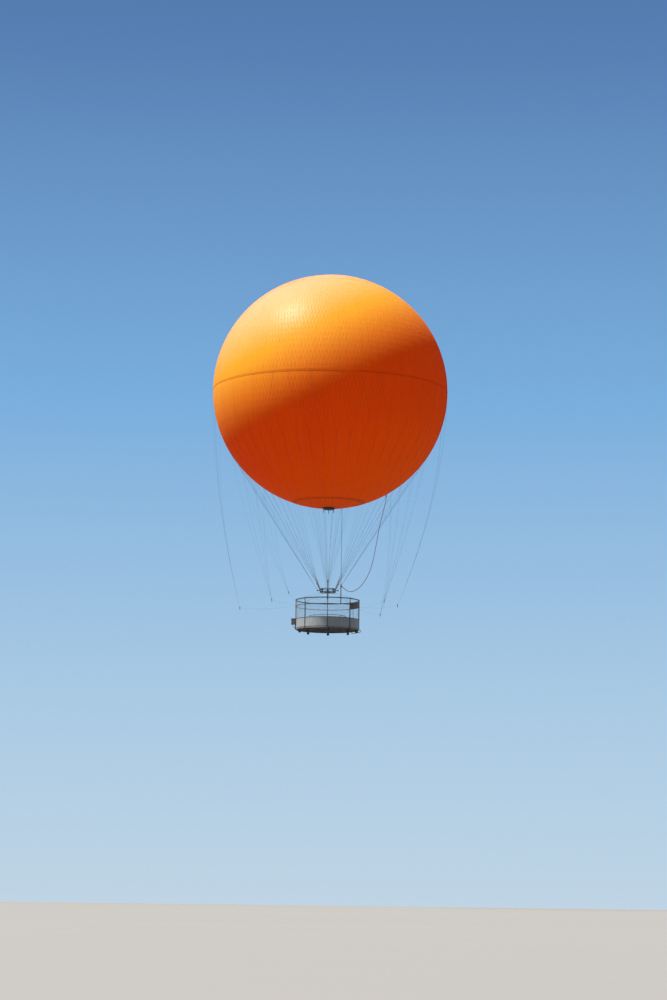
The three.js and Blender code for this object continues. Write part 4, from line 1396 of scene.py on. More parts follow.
    def patch(self) -> Shape:
        """The bottom's reinforcing sheet, a thin cap of the sphere on the cloth, and its ring of tape.

        Returns:
            The sheet and the tape.
        """
        seat, face = self.radius + SEAT, self.radius + SEAT + self.patch_thickness
        ends = (latitude_of(radius, self.radius) for radius in (self.patch_radius, self.neck_radius))
        latitudes, azimuth = -np.linspace(*ends, 12), spread(self.columns // 2)
        sheet = self.shell(on_sphere(face, azimuth, latitudes[:, None]),
                           on_sphere(seat, azimuth, latitudes[::-1, None]), latitudes, latitudes[::-1])
        half = degrees(self.ring_tape / 2 / self.radius)
        levels = np.radians(self.ring_latitude + np.linspace(-half, half, 9))
        arc = np.stack([np.cos(levels), np.sin(levels)], axis=-1)
        tape = turned(np.concatenate([arc * (face + 0.003), arc[::-1] * seat]), 192, True)
        return dressed(PATCH_CLOTH=[sheet], RING_TAPE=[tape])

    def knot_shapes(self, azimuth: Array, latitude: Array) -> Shape:
        """Small eight-sided lumps, one at each crossing of the ropes.

        Args:
            azimuth: Azimuths of the crossings.
            latitude: Their latitudes.

        Returns:
            The lumps.
        """
        width, height, depth = self.knot
        lump = turned([[0.0005, -height], [1.0, 0.0], [0.0005, height]], 4)
        lump.points = lump.points * (width, depth, 1.0)
        places = on_sphere(self.radius + self.rope + 0.002, azimuth, latitude)
        out, side = unit(places), sideways(azimuth)
        return scattered(lump, places, np.stack([side, out, np.cross(side, out)], axis=-1))

    def net(self, band: NetBand) -> Shape:
        """A band's strands and knots."""
        strands = band.strands(self.radius + 0.008)
        return dressed(NET_ROPE=[swept(strands, circle(self.rope, 4), unit(strands)),
                                 self.knot_shapes(*band.knots())])

    def surface_rope(self, starts: Array, ends: Array, rope: float, steps: int = 4) -> Shape:
        """Ropes that lie on the sphere, even steps of azimuth and latitude between their ends.

        Args:
            starts: Azimuth and latitude of each start, (n, 2).
            ends: The same of each end.
            rope: Their radius.
            steps: Straight pieces in each.

        Returns:
            The ropes.
        """
        t = (np.arange(steps + 1) / steps)[None, :, None]
        route = starts[:, None] * (1 - t) + ends[:, None] * t
        paths = on_sphere(self.radius + rope + 0.002, route[..., 0], route[..., 1])
        return swept(paths, circle(rope, 5), unit(paths))

    def crown_ropes(self) -> Shape:
        """The coarser net of the crown, its two ring ropes and the spokes to the crown plate.

        Returns:
            The ropes.
        """
        band, spokes = self.crown_net, spread(48, self.crown_net.phase)
        ends = paired(spokes, latitude_of(0.56, self.radius))
        rings = [swept(on_sphere(self.radius + rope + 0.001, spread(192), level), circle(rope, 5),
                       unit(on_sphere(1.0, spread(192), level)), closed=True)
                 for rope, level in ((self.rope, band.low), (0.009, band.high))]
        return dressed(NET_ROPE=[self.net(band), self.surface_rope(paired(spokes, band.high), ends, 0.008, 3),
                                 *rings])

    def crow_feet(self) -> Shape:
        """Ropes that join in pairs twice, from 192 at the net to 48 at the suspension lines.

        Returns:
            The ropes and their knots.
        """
        levels = (self.lower_net.low, -24.0, -31.0, self.tangent)
        parts = []
        for count, rope, high, low in ((192, 0.005, *levels[:2]), (96, 0.006, *levels[1:3])):
            start, end = spread(count, 180.0 / count), np.repeat(spread(count // 2, 360.0 / count), 2)
            parts += [self.surface_rope(paired(start, high), paired(end, low), rope),
                      self.knot_shapes(end[::2], 0 * end[::2] + low)]
        last = (paired(spread(48, 3.75), level) for level in levels[2:])
        return dressed(NET_ROPE=[*parts, self.surface_rope(*last, 0.007)])

    def crown_cap(self) -> Shape:
        """The top plate with its bolts and the boss with a lifting eye.

        Returns:
            The plate, the rim, the eye and the bolts.
        """
        low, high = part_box("crown_plate")
        edge, plate_top = high.x, low.z + 0.024
        plate = turned([[edge - 0.004, low.z], [edge, low.z + 0.006], [edge, plate_top - 0.004],
                        [edge - 0.006, plate_top], [0.075, plate_top], [0.06, plate_top + 0.012],
                        [0.06, high.z - 0.045], [0.052, high.z - 0.038]], 64)
        eye = scattered(hoop(0.024, 0.008, 0.0, 20, 8), UP * (high.z - 0.034), ON_ITS_SIDE)
        rows = [scattered(hex_head(0.011, 0.008), polar(edge - inset, spread(count), plate_top))
                for inset, count in ((0.035, 36), (0.1, 24))]
        rim = turned(oblong(0.03, 0.006, 0.002) + (edge - 0.19, plate_top), 64, True)
        return dressed(GALVANISED=[plate, rim], BRIGHT_STEEL=[eye, *rows])

    def valve_ring(self) -> Shape:
        """The clamping ring round the valve's neck, with a bolt every ten degrees.

        Returns:
            The ring and its bolts.
        """
        low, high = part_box("valve_flange")
        places = polar(high.x - 0.012, spread(36), low.z + 0.012)
        return dressed(BLACK_PLASTIC=[turned(rectangle(0.38, high.x, low.z, high.z, 0.005), 96, True)],
                       BRIGHT_STEEL=[scattered(hex_head(0.012, 0.01), places, UPSIDE_DOWN)])

    def valve(self) -> Shape:
        """The valve's drum with ribs round it, a slotted lid and four short hanging legs.

        Returns:
            The valve.
        """
        low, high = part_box("valve_body")
        radius, top, floor = high.x, high.z, high.z - 0.15
        leg, inset, feet = 0.028, 0.47, spread(4)
        drum = [[radius - 0.06, top], [radius - 0.014, top], [radius - 0.014, top - 0.03],
                [radius - 0.014, floor + 0.044], [radius - 0.05, floor + 0.006], [radius - 0.06, floor],
                [0.3, floor], [0.29, floor - 0.008], [0.05, floor - 0.008]]
        ribs = blocks(radius - 0.03, radius, 0.016, floor + 0.045, top - 0.006, spread(48))
        slats = blocks(0.08, 0.27, 0.012, floor - 0.014, floor - 0.004, spread(24), 0.002)
        legs, collars = (rods(polar(inset, feet, floor + start), polar(inset, feet, end), size, 16)
                         for start, end, size in ((0.01, low.z, leg), (0.004, floor - 0.03, leg + 0.01)))
        return dressed(BLACK_PLASTIC=[turned(drum, 96), ribs, slats, legs, collars])


@dataclass
class Suspension:
    """Fans of suspension lines, the load ring with its hub, the tether socket and the stays."""

    envelope: Envelope
    fans: int = 8
    lines: int = 6
    rope: float = 0.0043
    pitch: float = 0.023
    strap_top: tuple[float, float] = (1.413, -18.037)
    shackle: tuple[float, float] = (0.9454, -18.785)
    strap_width: float = 0.13
    strap_depth: float = 0.014
    ring_radius: float = 0.7
    ring_tube: float = 0.032
    ring_top: float = -18.64
    ring_bottom: float = -18.94
    seat_radius: float = 2.95
    seat_height: float = TOP_RING

    def build(self, shop: Workshop) -> None:
        """Makes the ring, the socket, the fans and the stays.

        Args:
            shop: Makes the pieces.
        """
        shop.piece("load_ring_welded", self.load_ring(), Slot.RING_STEEL, "load_ring")
        shop.piece("tether_swivel_socket", self.socket(), Slot.DARK_STEEL, "tether_socket",
                   body="tether_swivel")
        for number, azimuth in enumerate(spread(self.fans), 1):
            shop.piece(f"line_fan_{number}", self.fan(azimuth), Slot.ROPE, f"suspension_fan_{number}")
            shop.piece(f"stay_{number}", self.stay(azimuth), Slot.RING_STEEL, f"gondola_hanger_{number}")

    def fan(self, azimuth: float) -> Shape:
        """Six ropes down to a yoke plate, a stitched strap and a bow shackle on the ring's lug.

        Args:
            azimuth: Where the fan stands.

        Returns:
            The fan.
        """
        side, out = sideways(azimuth), outwards(azimuth)
        top, pin = (polar(radius, azimuth, height) for radius, height in (self.strap_top, self.shackle))
        down = unit(pin - top)
        face = np.cross(side, down)
        place = np.arange(self.lines) - (self.lines - 1) / 2
        starts = on_sphere(1.0, azimuth + 7.5 * place, self.envelope.tangent)
        starts = starts * (self.envelope.radius + self.rope + SEAT)
        ends = top - down * 0.03 + side * (place * self.pitch)[:, None]
        ahead = unit(ends - starts)
        ropes = [rods(starts, ends, self.rope, 8), rods(starts, starts + ahead * 0.45, self.rope * 1.3, 8)]
        eyes = rods(ends - ahead * 0.16, ends, self.rope * 1.4, 10)
        yoke = bars(top - down * 0.05, top + down * 0.05, 0.165, 0.02, face, 0.006)
        sides = top + face * [[0.013], [-0.013]]
        jaws = bars(sides - down * 0.048, sides - down * 0.004, 0.158, 0.01, face)
        row = top - down * 0.026 + face * 0.018 + side * (place * 0.0245)[:, None]
        belt = bars(top + down * 0.02, pin - down * 0.055, self.strap_width, self.strap_depth, face, 0.004)
        folds = bars([top + down * 0.055, pin - down * 0.2], [top + down * 0.22, pin - down * 0.055],
                     self.strap_width - 0.012, self.strap_depth + 0.012, face, 0.004)
        half, angle = 0.04, np.linspace(0.0, np.pi, 13)
        arch = np.outer(np.cos(angle), side) * (half + 0.004) - np.outer(np.sin(angle) * 0.05 + 0.012, down)
        legs = down * 0.01 + side * [[half], [-half]]
        bow = swept(pin + np.vstack([legs[:1], arch, legs[1:]]), circle(0.011, 10), face)
        axis = pin - out * 0.012
        nuts = rods(axis + side * [[0.053], [-0.04]], axis + side * [[0.04], [-0.053]], 0.024, 6)
        bolt = pegs(axis, side * 0.055, 0.015, 12)
        eye = bars(pin - out * 0.056, pin + out * 0.056, 0.116, 0.1, UP, 0.014)
        heads = scattered(hex_head(0.009, 0.005), row, frames_towards(face))
        return dressed(DARK_ROPE=ropes, GALVANISED=[eyes, yoke, jaws], DARK_STEEL=[bow, bolt, eye, nuts],
                       BRIGHT_STEEL=[heads], WEBBING=[belt, folds])

    def load_ring(self) -> Shape:
        """Two tube hoops, eight plates with eye lugs, four arms and the swivel's hub.

        Returns:
            The ring.
        """
        ring, tube, top, bottom = self.ring_radius, self.ring_tube, self.ring_top, self.ring_bottom
        fans, arms, heights = spread(self.fans), spread(4, 45.0), (top, bottom)
        lug_low, lug_high = -18.815, -18.755
        hoops = [hoop(ring, tube, height, 96, 16) for height in heights]
        collars = [swept(polar(ring, fans[:, None] + np.linspace(-6.2, 6.2, 5), height),
                         circle(tube + 0.005, 14)) for height in heights]
        plates = [blocks(*sizes, fans, bevel) for *sizes, bevel in (
            (ring - 0.012, ring + 0.012, 0.13, bottom, top, 0.004),
            (ring, 0.9, 0.07, lug_low + 0.018, lug_high - 0.018, 0.005),
            (ring, 0.885, 0.014, lug_low, lug_high, 0.003), (0.85, 0.9, 0.066, lug_low, lug_high, 0.012))]
        beams = bars(polar(0.05, arms, bottom), polar(ring, arms, bottom), 0.06, 0.05, bevel=0.006)
        gussets = bars(polar(0.08, arms, -18.972), polar(0.3, arms, -18.958), 0.012, 0.034)
        hub = turned([[0.07, -19.0], [0.092, -18.998], [0.095, -18.992], [0.095, -18.905],
                      [0.088, -18.897], [0.06, -18.895], [0.055, -18.875], [0.03, -18.873]], 48)
        bolts = scattered(hex_head(0.009, 0.008), polar(0.076, spread(10, 18.0), -18.8955))
        welds = facing_out(hoop(0.036, 0.005, 0.0, 24), ring - tube - 0.004, arms, bottom)
        return dressed(GALVANISED=[beams, gussets, hub, welds], DARK_STEEL=[*hoops, *collars, *plates],
                       BRIGHT_STEEL=[bolts])

    def socket(self) -> Shape:
        """The turning end: a bolted flange, a neck and a ribbed barrel with a flat end.

        Returns:
            The socket and its bolts.
        """
        low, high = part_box("tether_socket")
        body = turned([[0.054, low.z], [0.06, low.z + 0.006], [0.06, low.z + 0.1], [0.055, low.z + 0.11],
                       [0.055, low.z + 0.16], [0.06, low.z + 0.17], [0.06, -19.175], [0.042, -19.142],
                       [0.042, -19.05], [0.078, -19.04], [0.08, -19.036], [0.08, high.z - 0.003],
                       [0.077, high.z]], 48)
        bolts = scattered(hex_head(0.009, 0.008), polar(0.064, spread(8), -19.037), UPSIDE_DOWN)
        return dressed(DARK_STEEL=[body], BRIGHT_STEEL=[bolts])

    def stay(self, azimuth: float) -> Shape:
        """A stay with a clamp and a fork under the ring, a turnbuckle and a fork on the top ring.

        Args:
            azimuth: Where the stay stands.

        Returns:
            The stay.
        """
        ring, seat, low = self.ring_radius, self.seat_radius, self.seat_height
        flat = self.ring_bottom - self.ring_tube * np.sin(radians(60)) - SEAT
        start, end = polar(ring, azimuth, flat - 0.03), polar(seat, azimuth, low + 0.03)
        ahead, side = unit(end - start), sideways(azimuth)
        upper = blocks(ring - 0.035, ring + 0.035, 0.044, flat - 0.06, flat, azimuth, 0.006)
        lower = blocks(seat - 0.03, seat + 0.03, 0.044, low, low + 0.06, azimuth, 0.006)
        pins = pegs(np.array([start, end]), side * 0.024, 0.01, 10)
        swages = rods([start, end - ahead * 0.2], [start + ahead * 0.2, end], 0.0105, 10)
        body = rods(end - ahead * 0.56, end - ahead * 0.3, 0.014, 10)
        nuts = rods(end - ahead * [[0.58], [0.3]], end - ahead * [[0.56], [0.28]], 0.017, 6)
        return dressed(GALVANISED=[upper, lower, body, nuts],
                       BRIGHT_STEEL=[pins, rods(start, end, 0.0065, 8), swages])


@dataclass(frozen=True)
class LineGroup:
    """Four handling lines from the belt, gathered in a knot and led on to the cage.

    Attributes:
        azimuth: The group's azimuth.
        radius: Radius of its knot.
        height: Height of its knot.
        top: Radius at which the lines leave the belt.
        spots: Azimuths of the lines on the belt, from the group's own.
    """

    azimuth: float
    radius: float
    height: float
    top: float
    rope: float = 0.0031
    spots: tuple[float, ...] = (-20.625, -9.375, 5.625, 16.875)
    hang_power: float = 1.8
    cage_radius: float = 2.962
    sag: float = 0.16

    def shape(self) -> Shape:
        """The whole group."""
        return dressed(DARK_ROPE=[self.fall(), self.knot(), self.haul()])

    def fall(self) -> Shape:
        """The four lines: out of the belt nearly upright, then drawn in by a power of the way down.

        Returns:
            The lines and their eyes.
        """
        t, turn = np.linspace(0.0, 1.0, 15), self.azimuth + np.array(self.spots)
        reach = self.top - (self.top - self.radius) * t**self.hang_power
        paths = polar(reach, self.azimuth + (turn - self.azimuth)[:, None] * (1 - t), self.height * t)
        eyes = scattered(hoop(0.022, 0.006, 0.0, 14), polar(self.top - 0.02, turn, 0.0),
                         frames_towards(sideways(turn)))
        return joined(swept(paths, circle(self.rope, 5), sideways(self.azimuth)), eyes)

    def knot(self) -> Shape:
        """The gathered knot: a waisted bundle, three turns of lashing and two loose ends.

        Returns:
            The knot.
        """
        bundle = turned([[0.009, 0.16], [0.022, 0.08], [0.034, 0.0], [0.024, -0.07], [0.011, -0.11]], 12)
        turns = [hoop(size, 0.007, level, 16)
                 for size, level in ((0.029, 0.035), (0.035, 0.0), (0.029, -0.035))]
        t = np.linspace(0.0, 1.0, 8)[:, None]
        ends = [swept(np.hstack([sign * (0.014 + 0.04 * t), 0.02 * t, -0.07 - length * t**0.9]),
                      circle(self.rope, 5), BACK) for sign, length in ((1, 0.34), (-1, 0.22))]
        return scattered(joined(bundle, *turns, *ends), polar(self.radius, self.azimuth, self.height),
                         np.stack([outwards(self.azimuth), sideways(self.azimuth), UP], axis=-1))

    def haul(self) -> Shape:
        """The line from the knot to the mid rail, sagging as a parabola, with a hitch at its end.

        Returns:
            The line and its hitch.
        """
        t = np.linspace(0.0, 1.0, 13)
        path = polar(self.radius + (self.cage_radius - self.radius) * t, self.azimuth,
                     self.height + (MID_RAIL - self.height) * t - self.sag * 4 * t * (1 - t))
        places = polar(self.cage_radius, self.azimuth + np.array([-0.35, 0.0, 0.35]), MID_RAIL)
        hitch = scattered(hoop(0.032, 0.008, 0.0, 16), places, frames_towards(sideways(self.azimuth)))
        return joined(swept(path, circle(self.rope, 5), sideways(self.azimuth)), hitch)


@dataclass
class HandlingLines:
    """The eight groups of handling lines, given by their knots' azimuths, radii and heights."""

    envelope: Envelope
    knots: tuple[Point, ...] = (
        (0.0, 7.2, -20.3), (45.0, 6.8, -21.5), (90.0, 6.5, -20.1), (135.0, 7.6, -19.1),
        (180.0, 7.2, -19.5), (225.0, 5.2, -18.6), (270.0, 8.15, -20.5), (315.0, 7.2, -20.3))

    def build(self, shop: Workshop) -> None:
        """Makes one piece of each group."""
        for number, knot in enumerate(self.knots, 1):
            group = LineGroup(*knot, self.envelope.radius + 0.05)
            shop.piece(f"handling_lines_{number}", group.shape(), Slot.ROPE)


# Gondola, casters and services


@dataclass
class Gondola:
    """The ring-shaped gondola: deck, parapet, cage, inner rail, gate, header, step and box."""

    top: float = -22.33
    base: float = -22.48
    clad_radius: float = 2.92
    clad_wall: float = 0.03
    well: float = 1.65
    rim_low: float = -21.5204
    gate_from: float = 101.25
    gate_to: float = 123.75
    panel: float = 22.5
    post_inner: float = 2.9204
    post_size: float = 0.05
    net_radius: float = 2.914
    net_low: float = -21.49
    net_high: float = -19.71
    net_from: float = 136.0
    net_to: float = 449.0
    side_net_high: float = -20.32
    mesh: float = 0.08
    strand: float = 0.002
    inner_radius: float = 1.7
    caster_circle: float = 2.63
    hinge: tuple[float, float] = (2.876, 123.2)

    def build(self, shop: Workshop) -> None:
        """Makes every piece of the gondola but the casters.

        Args:
            shop: Makes the pieces.
        """
        shop.piece("deck_assembly", self.deck(), Slot.DECK, "gondola_deck")
        shop.piece("parapet_panels", self.parapet(), Slot.CLADDING, "parapet")
        shop.piece("cage_posts_and_rails", self.cage(), Slot.DARK_STEEL, "cage_frame")
        shop.piece("top_ring", self.top_ring(), Slot.DARK_STEEL, "cage_top_ring")
        for number, start in enumerate(spread(4), 1):
            shop.piece(f"inner_guard_{number}", self.inner_rail(start), Slot.DARK_STEEL,
                       f"inner_rail_{number}")
        shop.piece("gate", self.gate(), Slot.CLADDING, "gate_leaf", body="gate")
        shop.piece("header_panel", self.header(), Slot.BROWN_PANEL, "gate_header")
        shop.piece("step", self.step(), Slot.DARK_STEEL, "boarding_step")
        shop.piece("equipment_case", self.equipment(), Slot.BLACK_PLASTIC, "equipment_box")
        shop.piece("cage_netting", self.cage_net(), Slot.ROPE)
        shop.piece("well_netting", self.diamonds(self.inner_radius, -22.23, -21.17, 0.0, 360.0), Slot.ROPE)

    def deck(self) -> Shape:
        """Floor boards on a ring of joists between an outer and an inner rim.

        Returns:
            The deck.
        """
        outer, well, top, base = self.clad_radius, self.well, self.top, self.base
        plate = turned(rectangle(well + 0.03, outer - 0.03, top - 0.03, top - 0.002, 0.002), 128, True)
        lip = np.array([[-0.04, base], [-0.0005, base], [-0.0005, base + 0.02], [-0.01, base + 0.03],
                        [-0.01, top - 0.012], [-0.0005, top - 0.008], [-0.0005, top], [-0.04, top]])
        lip = turned(rounded(lip + (outer, 0), 0.002, 1), 128, True)
        inner = turned(rectangle(well, well + 0.04, top - 0.12, top, 0.004), 96, True)
        liner = turned(rectangle(outer - 0.05, outer - 0.039, base + 0.001, top - 0.032, 0.002), 128, True)
        seams = blocks(well + 0.05, outer - 0.05, 0.03, top - 0.006, top - 0.0005, spread(32), 0.002)
        studs = np.concatenate([polar(radius, spread(288, 0.6 * (row % 2)), top - 0.0022)
                                for row, radius in enumerate(np.arange(1.76, 2.86, 0.055))])
        grips = scattered(turned([[0.011, 0.0], [0.009, 0.0016]], 6), studs)
        low, high, seat = top - 0.09, top - 0.028, self.caster_circle
        narrow, wide = spread(8, 22.5), spread(8)
        joists = [blocks(*sizes, 0.004) for sizes in (
            (well + 0.02, outer - 0.025, 0.06, low, high, narrow),
            (well + 0.02, outer - 0.025, 0.14, low, high, wide),
            (seat - 0.09, seat + 0.09, 0.18, low - 0.0002, low + 0.012, wide))]
        ties = [hoop(radius, 0.016, top - 0.062, 96, 8) for radius in (2.02, 2.36)]
        corners = [polar(seat + side * 0.07, wide + turn * 1.5, low) for side in (-1, 1) for turn in (-1, 1)]
        bolts = scattered(hex_head(0.011, 0.008), np.concatenate(corners), UPSIDE_DOWN)
        return dressed(TREAD=[plate, grips], EDGE_TRIM=[lip, seams], UNDERSIDE=[inner, liner, *joists, *ties],
                       BRIGHT_STEEL=[bolts])

    def sheet_section(self, low: float, high: float, grooves: int) -> Array:
        """The outline of a wall panel, its outer face dipping into level grooves.

        Args:
            low: Height of its lower edge.
            high: Height of its upper edge.
            grooves: How many grooves there are, evenly spread.

        Returns:
            Radius and height of its points, (n, 2).
        """
        outer, inner = self.clad_radius - 0.0006, self.clad_radius - self.clad_wall
        levels = low + (high - low) * (np.arange(grooves) + 1) / (grooves + 1)
        dips = np.array([[0.0, -0.008], [-0.005, -0.004], [-0.005, 0.004], [0.0, 0.008]])
        face = (dips[None] + np.stack([0 * levels + outer, levels], -1)[:, None]).reshape(-1, 2)
        return np.vstack([
            [inner, low + 0.002], [inner + 0.002, low], [outer - 0.003, low], [outer, low + 0.003], face,
            [outer, high - 0.003], [outer - 0.003, high], [inner + 0.002, high], [inner, high - 0.002]])

    def parapet(self) -> Shape:
        """Fifteen curved sheets with gaps between them, cover strips, rivets, bracket and handrail.

        Returns:
            The parapet.
        """
        low, high = self.top + SEAT, self.rim_low - SEAT
        edges = np.arange(self.gate_to, self.gate_from + 359.0, self.panel)
        gap, middle = degrees(0.004 / self.clad_radius), self.clad_radius - self.clad_wall / 2
        sheets = arcs(self.sheet_section(low, high, 4), edges + gap, edges + self.panel - gap, 12)
        strips = blocks(middle - 0.006, middle + 0.006, 0.1, low + 0.01, high - 0.01, edges[1:], 0.002)
        spots = np.concatenate([edges[1:] - 0.45, edges[1:] + 0.45])
        levels = np.linspace(low + 0.03, high - 0.03, 11)
        rivets = facing_out(dome_head(0.006, 0.0025), self.clad_radius - 0.0012, np.tile(spots, 11),
                            np.repeat(levels, len(spots)))
        bracket = blocks(2.854, middle, 0.19, -21.555, -21.538, 124.4)
        handrail = arcs(circle(0.014, 8) + (2.872, -21.6), self.gate_to + 4, self.gate_from + 356, 96)
        return dressed(CLADDING=[sheets, strips], BRIGHT_STEEL=[rivets], DARK_STEEL=[bracket, handrail])

    def cage(self) -> Shape:
        """Eight square posts with foot plates, the mid rail, the rim rail, clips and the gate's stiles.

        Returns:
            The cage's frame.
        """
        azimuth, inner, size, low = spread(8), self.post_inner, self.post_size, self.base
        middle = inner + size / 2
        posts = bars(polar(middle, azimuth, low), polar(middle, azimuth, -19.7304), size, size,
                     outwards(azimuth), 0.006)
        feet = blocks(inner + 0.0006, inner + size + 0.004, 0.085, low + 0.03, low + 0.13, azimuth, 0.004)
        mid = turned(rectangle(2.926, 2.965, MID_RAIL - 0.02, MID_RAIL + 0.02, 0.008, 3), 128, True)
        rim = arcs(rectangle(2.884, 2.936, RIM_LOW, RIM_HIGH, 0.012, 3), self.gate_to, self.gate_from + 360,
                   120)
        clips = blocks(2.924, 2.974, 0.075, MID_RAIL - 0.032, MID_RAIL + 0.032, azimuth, 0.006)
        stiles = [bars(polar(2.928, edge, RIM_LOW), polar(2.928, edge, MID_RAIL - 0.01), 0.03, 0.024,
                       outwards(edge), 0.004) for edge in (self.gate_from - 0.7, self.gate_to + 0.7)]
        spots = np.concatenate([azimuth - 0.62, azimuth + 0.62])
        bolts = [facing_out(hex_head(0.007, 0.005), 2.9735, spots, height)
                 for height in (MID_RAIL, -22.41, -22.37)]
        return dressed(DARK_STEEL=[posts, feet, mid, rim, clips, *stiles], BRIGHT_STEEL=bolts)

    def top_ring(self) -> Shape:
        """The cage's top ring with a lug at every stay."""
        low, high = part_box("cage_top_ring")
        pads = blocks(2.918, 2.982, 0.12, low.z + 0.004, high.z - 0.0004, spread(8), 0.006)
        return dressed(DARK_STEEL=[turned(rectangle(2.92, 2.98, low.z, high.z, 0.012, 3), 128, True), pads])

    def inner_rail(self, start: float) -> Shape:
        """A quarter of the rail round the well: three round rails on two posts with foot plates.

        Args:
            start: Azimuth of its first post.

        Returns:
            The quarter.
        """
        radius, half, post, foot = self.inner_radius, 0.02, 0.034, self.top + SEAT
        first = start - degrees(post / 2 / radius)
        last = first + 90 - degrees(SEAT / radius)
        rails = [arcs(circle(half, 12) + (radius, height - half), first, last, 32)
                 for height in (-21.16, -21.76, -22.24)]
        azimuth = start + np.array([0.0, 45.0])
        posts, cuffs = (rods(polar(radius, azimuth, low), polar(radius, azimuth, high), size, 12)
                        for low, high, size in ((foot, -21.18, post / 2), (-21.8, -21.76, 0.026)))
        feet = blocks(radius - 0.035, radius + 0.035, 0.09, foot, self.top + 0.01, azimuth, 0.002)
        return dressed(DARK_STEEL=[*rails, posts, feet, cuffs])

    def diamonds(self, radius: float, low: float, high: float, first: float, last: float) -> Shape:
        """Netting on a round wall: slanted strands that lean both ways.

        Each strand rises as far as it goes round, and is cut where the net ends.

        Args:
            radius: Radius of the wall.
            low: Height of the net's lower edge.
            high: Height of its upper edge.
            first: Azimuth of its first end.
            last: Azimuth of its other end.

        Returns:
            The strands.
        """
        girth, rise = radians(last - first) * radius, high - low
        begin = np.arange(-ceil(rise / self.mesh), round(girth / self.mesh) + 1) * self.mesh
        start, stop = np.clip(begin, 0, girth), np.clip(begin + rise, 0, girth)
        start, stop, begin = (part[stop - start > 0.01, None] for part in (start, stop, begin))
        t = np.linspace(0.0, 1.0, 8)[None]
        walk = start * (1 - t) + stop * t
        turn = np.degrees(walk / radius)
        paths = [polar(radius + side, azimuth, low + walk - begin)
                 for azimuth, side in ((first + turn, -self.strand), (last - turn, self.strand))]
        return dressed(NETTING=[swept(np.concatenate(paths), circle(self.strand, 3))])

    def cage_net(self) -> Shape:
        """The cage's netting beside and above the wall, with its two edge cables of dark steel.

        Returns:
            The netting.
        """
        fields = [self.diamonds(self.net_radius, self.net_low, high, first, last) for high, first, last in (
            (self.net_high, self.net_from, self.net_to), (self.side_net_high, 91.0, self.gate_from - 1.2),
            (self.side_net_high, self.gate_to + 1.2, 134.0))]
        edges = [arcs(circle(size, 8) + place, self.net_from, self.net_to, 96)
                 for size, place in ((0.005, (self.net_radius, self.net_low)),
                                     (0.013, (2.904, self.net_high - 0.034)))]
        return dressed(NETTING=fields, DARK_STEEL=edges)

    def gate(self) -> Shape:
        """The gate leaf: a grooved sheet with a frame, a bolt latch and its hinge barrel.

        Returns:
            The leaf.
        """
        low, high, first, last = -22.3, -21.565, 101.65, 123.5
        inner = self.clad_radius - self.clad_wall
        leaf = arcs(self.sheet_section(low, high, 3), first, last, 12)
        frame_bars = [arcs(rectangle(inner - 0.012, inner + 0.002, level, level + 0.05, 0.004, 1),
                           first + 0.4, last - 0.9, 12) for level in (low + 0.01, high - 0.06)]
        barrel = rods(polar(*self.hinge, self.top + SEAT), polar(*self.hinge, -21.5554), 0.014, 16)
        knuckles = pegs(polar(*self.hinge, np.array([-22.24, -21.93, -21.62])), UP * 0.03, 0.0165, 16)
        latch = rods(polar(inner - 0.022, 102.1, -21.72), polar(inner - 0.022, 104.6, -21.72), 0.008)
        guides = blocks(inner - 0.034, inner + 0.002, 0.02, -21.735, -21.705, np.array([102.6, 104.0]))
        return dressed(CLADDING=[leaf], DARK_STEEL=[*frame_bars, barrel],
                       BRIGHT_STEEL=[knuckles, latch, guides])

    def header(self) -> Shape:
        """The dark brown board over the gate, with battens and screws.

        Returns:
            The board.
        """
        low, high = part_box("gate_header")
        levels = (low.z + 0.012, high.z - 0.047)
        panel = arcs(rectangle(2.932, 2.952, low.z, high.z, 0.003, 1), 90.8, 134.2, 24)
        battens = [arcs(rectangle(2.948, 2.958, level, level + 0.035, 0.003, 1), 91.2, 133.8, 24)
                   for level in levels]
        uprights = blocks(2.95, 2.957, 0.035, low.z + 0.048, high.z - 0.048,
                          np.array([101.25, 112.5, 123.75]), 0.002)
        screws = [facing_out(dome_head(0.005, 0.002), 2.9578, np.linspace(92.0, 133.0, 15), level + 0.0175)
                  for level in levels]
        return dressed(BROWN_PANEL=[panel, *battens, uprights], BRIGHT_STEEL=screws)

    def step(self) -> Shape:
        """The boarding step: square tubes in four spans with ribbed tops, on three brackets.

        Returns:
            The step.
        """
        radius, height, tube, wall = 3.1, -22.57, 0.04, self.clad_radius
        corners = np.linspace(93.0, 132.0, 5)
        spots, arm = corners[::2], self.base + 0.05
        treads = bars(polar(radius, corners[:-1] - 0.3, height), polar(radius, corners[1:] + 0.3, height),
                      tube, tube, bevel=0.004)
        ribs = blocks(radius - 0.017, radius + 0.017, 0.006, height + 0.018, height + 0.0215,
                      np.linspace(93.4, 131.6, 64), 0.001)
        arms = bars(polar(wall + SEAT, spots, arm), polar(radius + tube / 2, spots, arm), 0.03, 0.03)
        drops = bars(polar(radius, spots, arm + 0.01), polar(radius, spots, height), 0.03, 0.03,
                     outwards(spots))
        plates = blocks(wall + SEAT, wall + 0.01, 0.09, arm - 0.035, arm + 0.035, spots, 0.002)
        webs = bars(polar(2.935, spots, arm - 0.012), polar(3.09, spots, height + 0.022), 0.008, 0.02,
                    bevel=0.002)
        return dressed(DARK_STEEL=[treads, ribs, arms, drops, plates, webs])

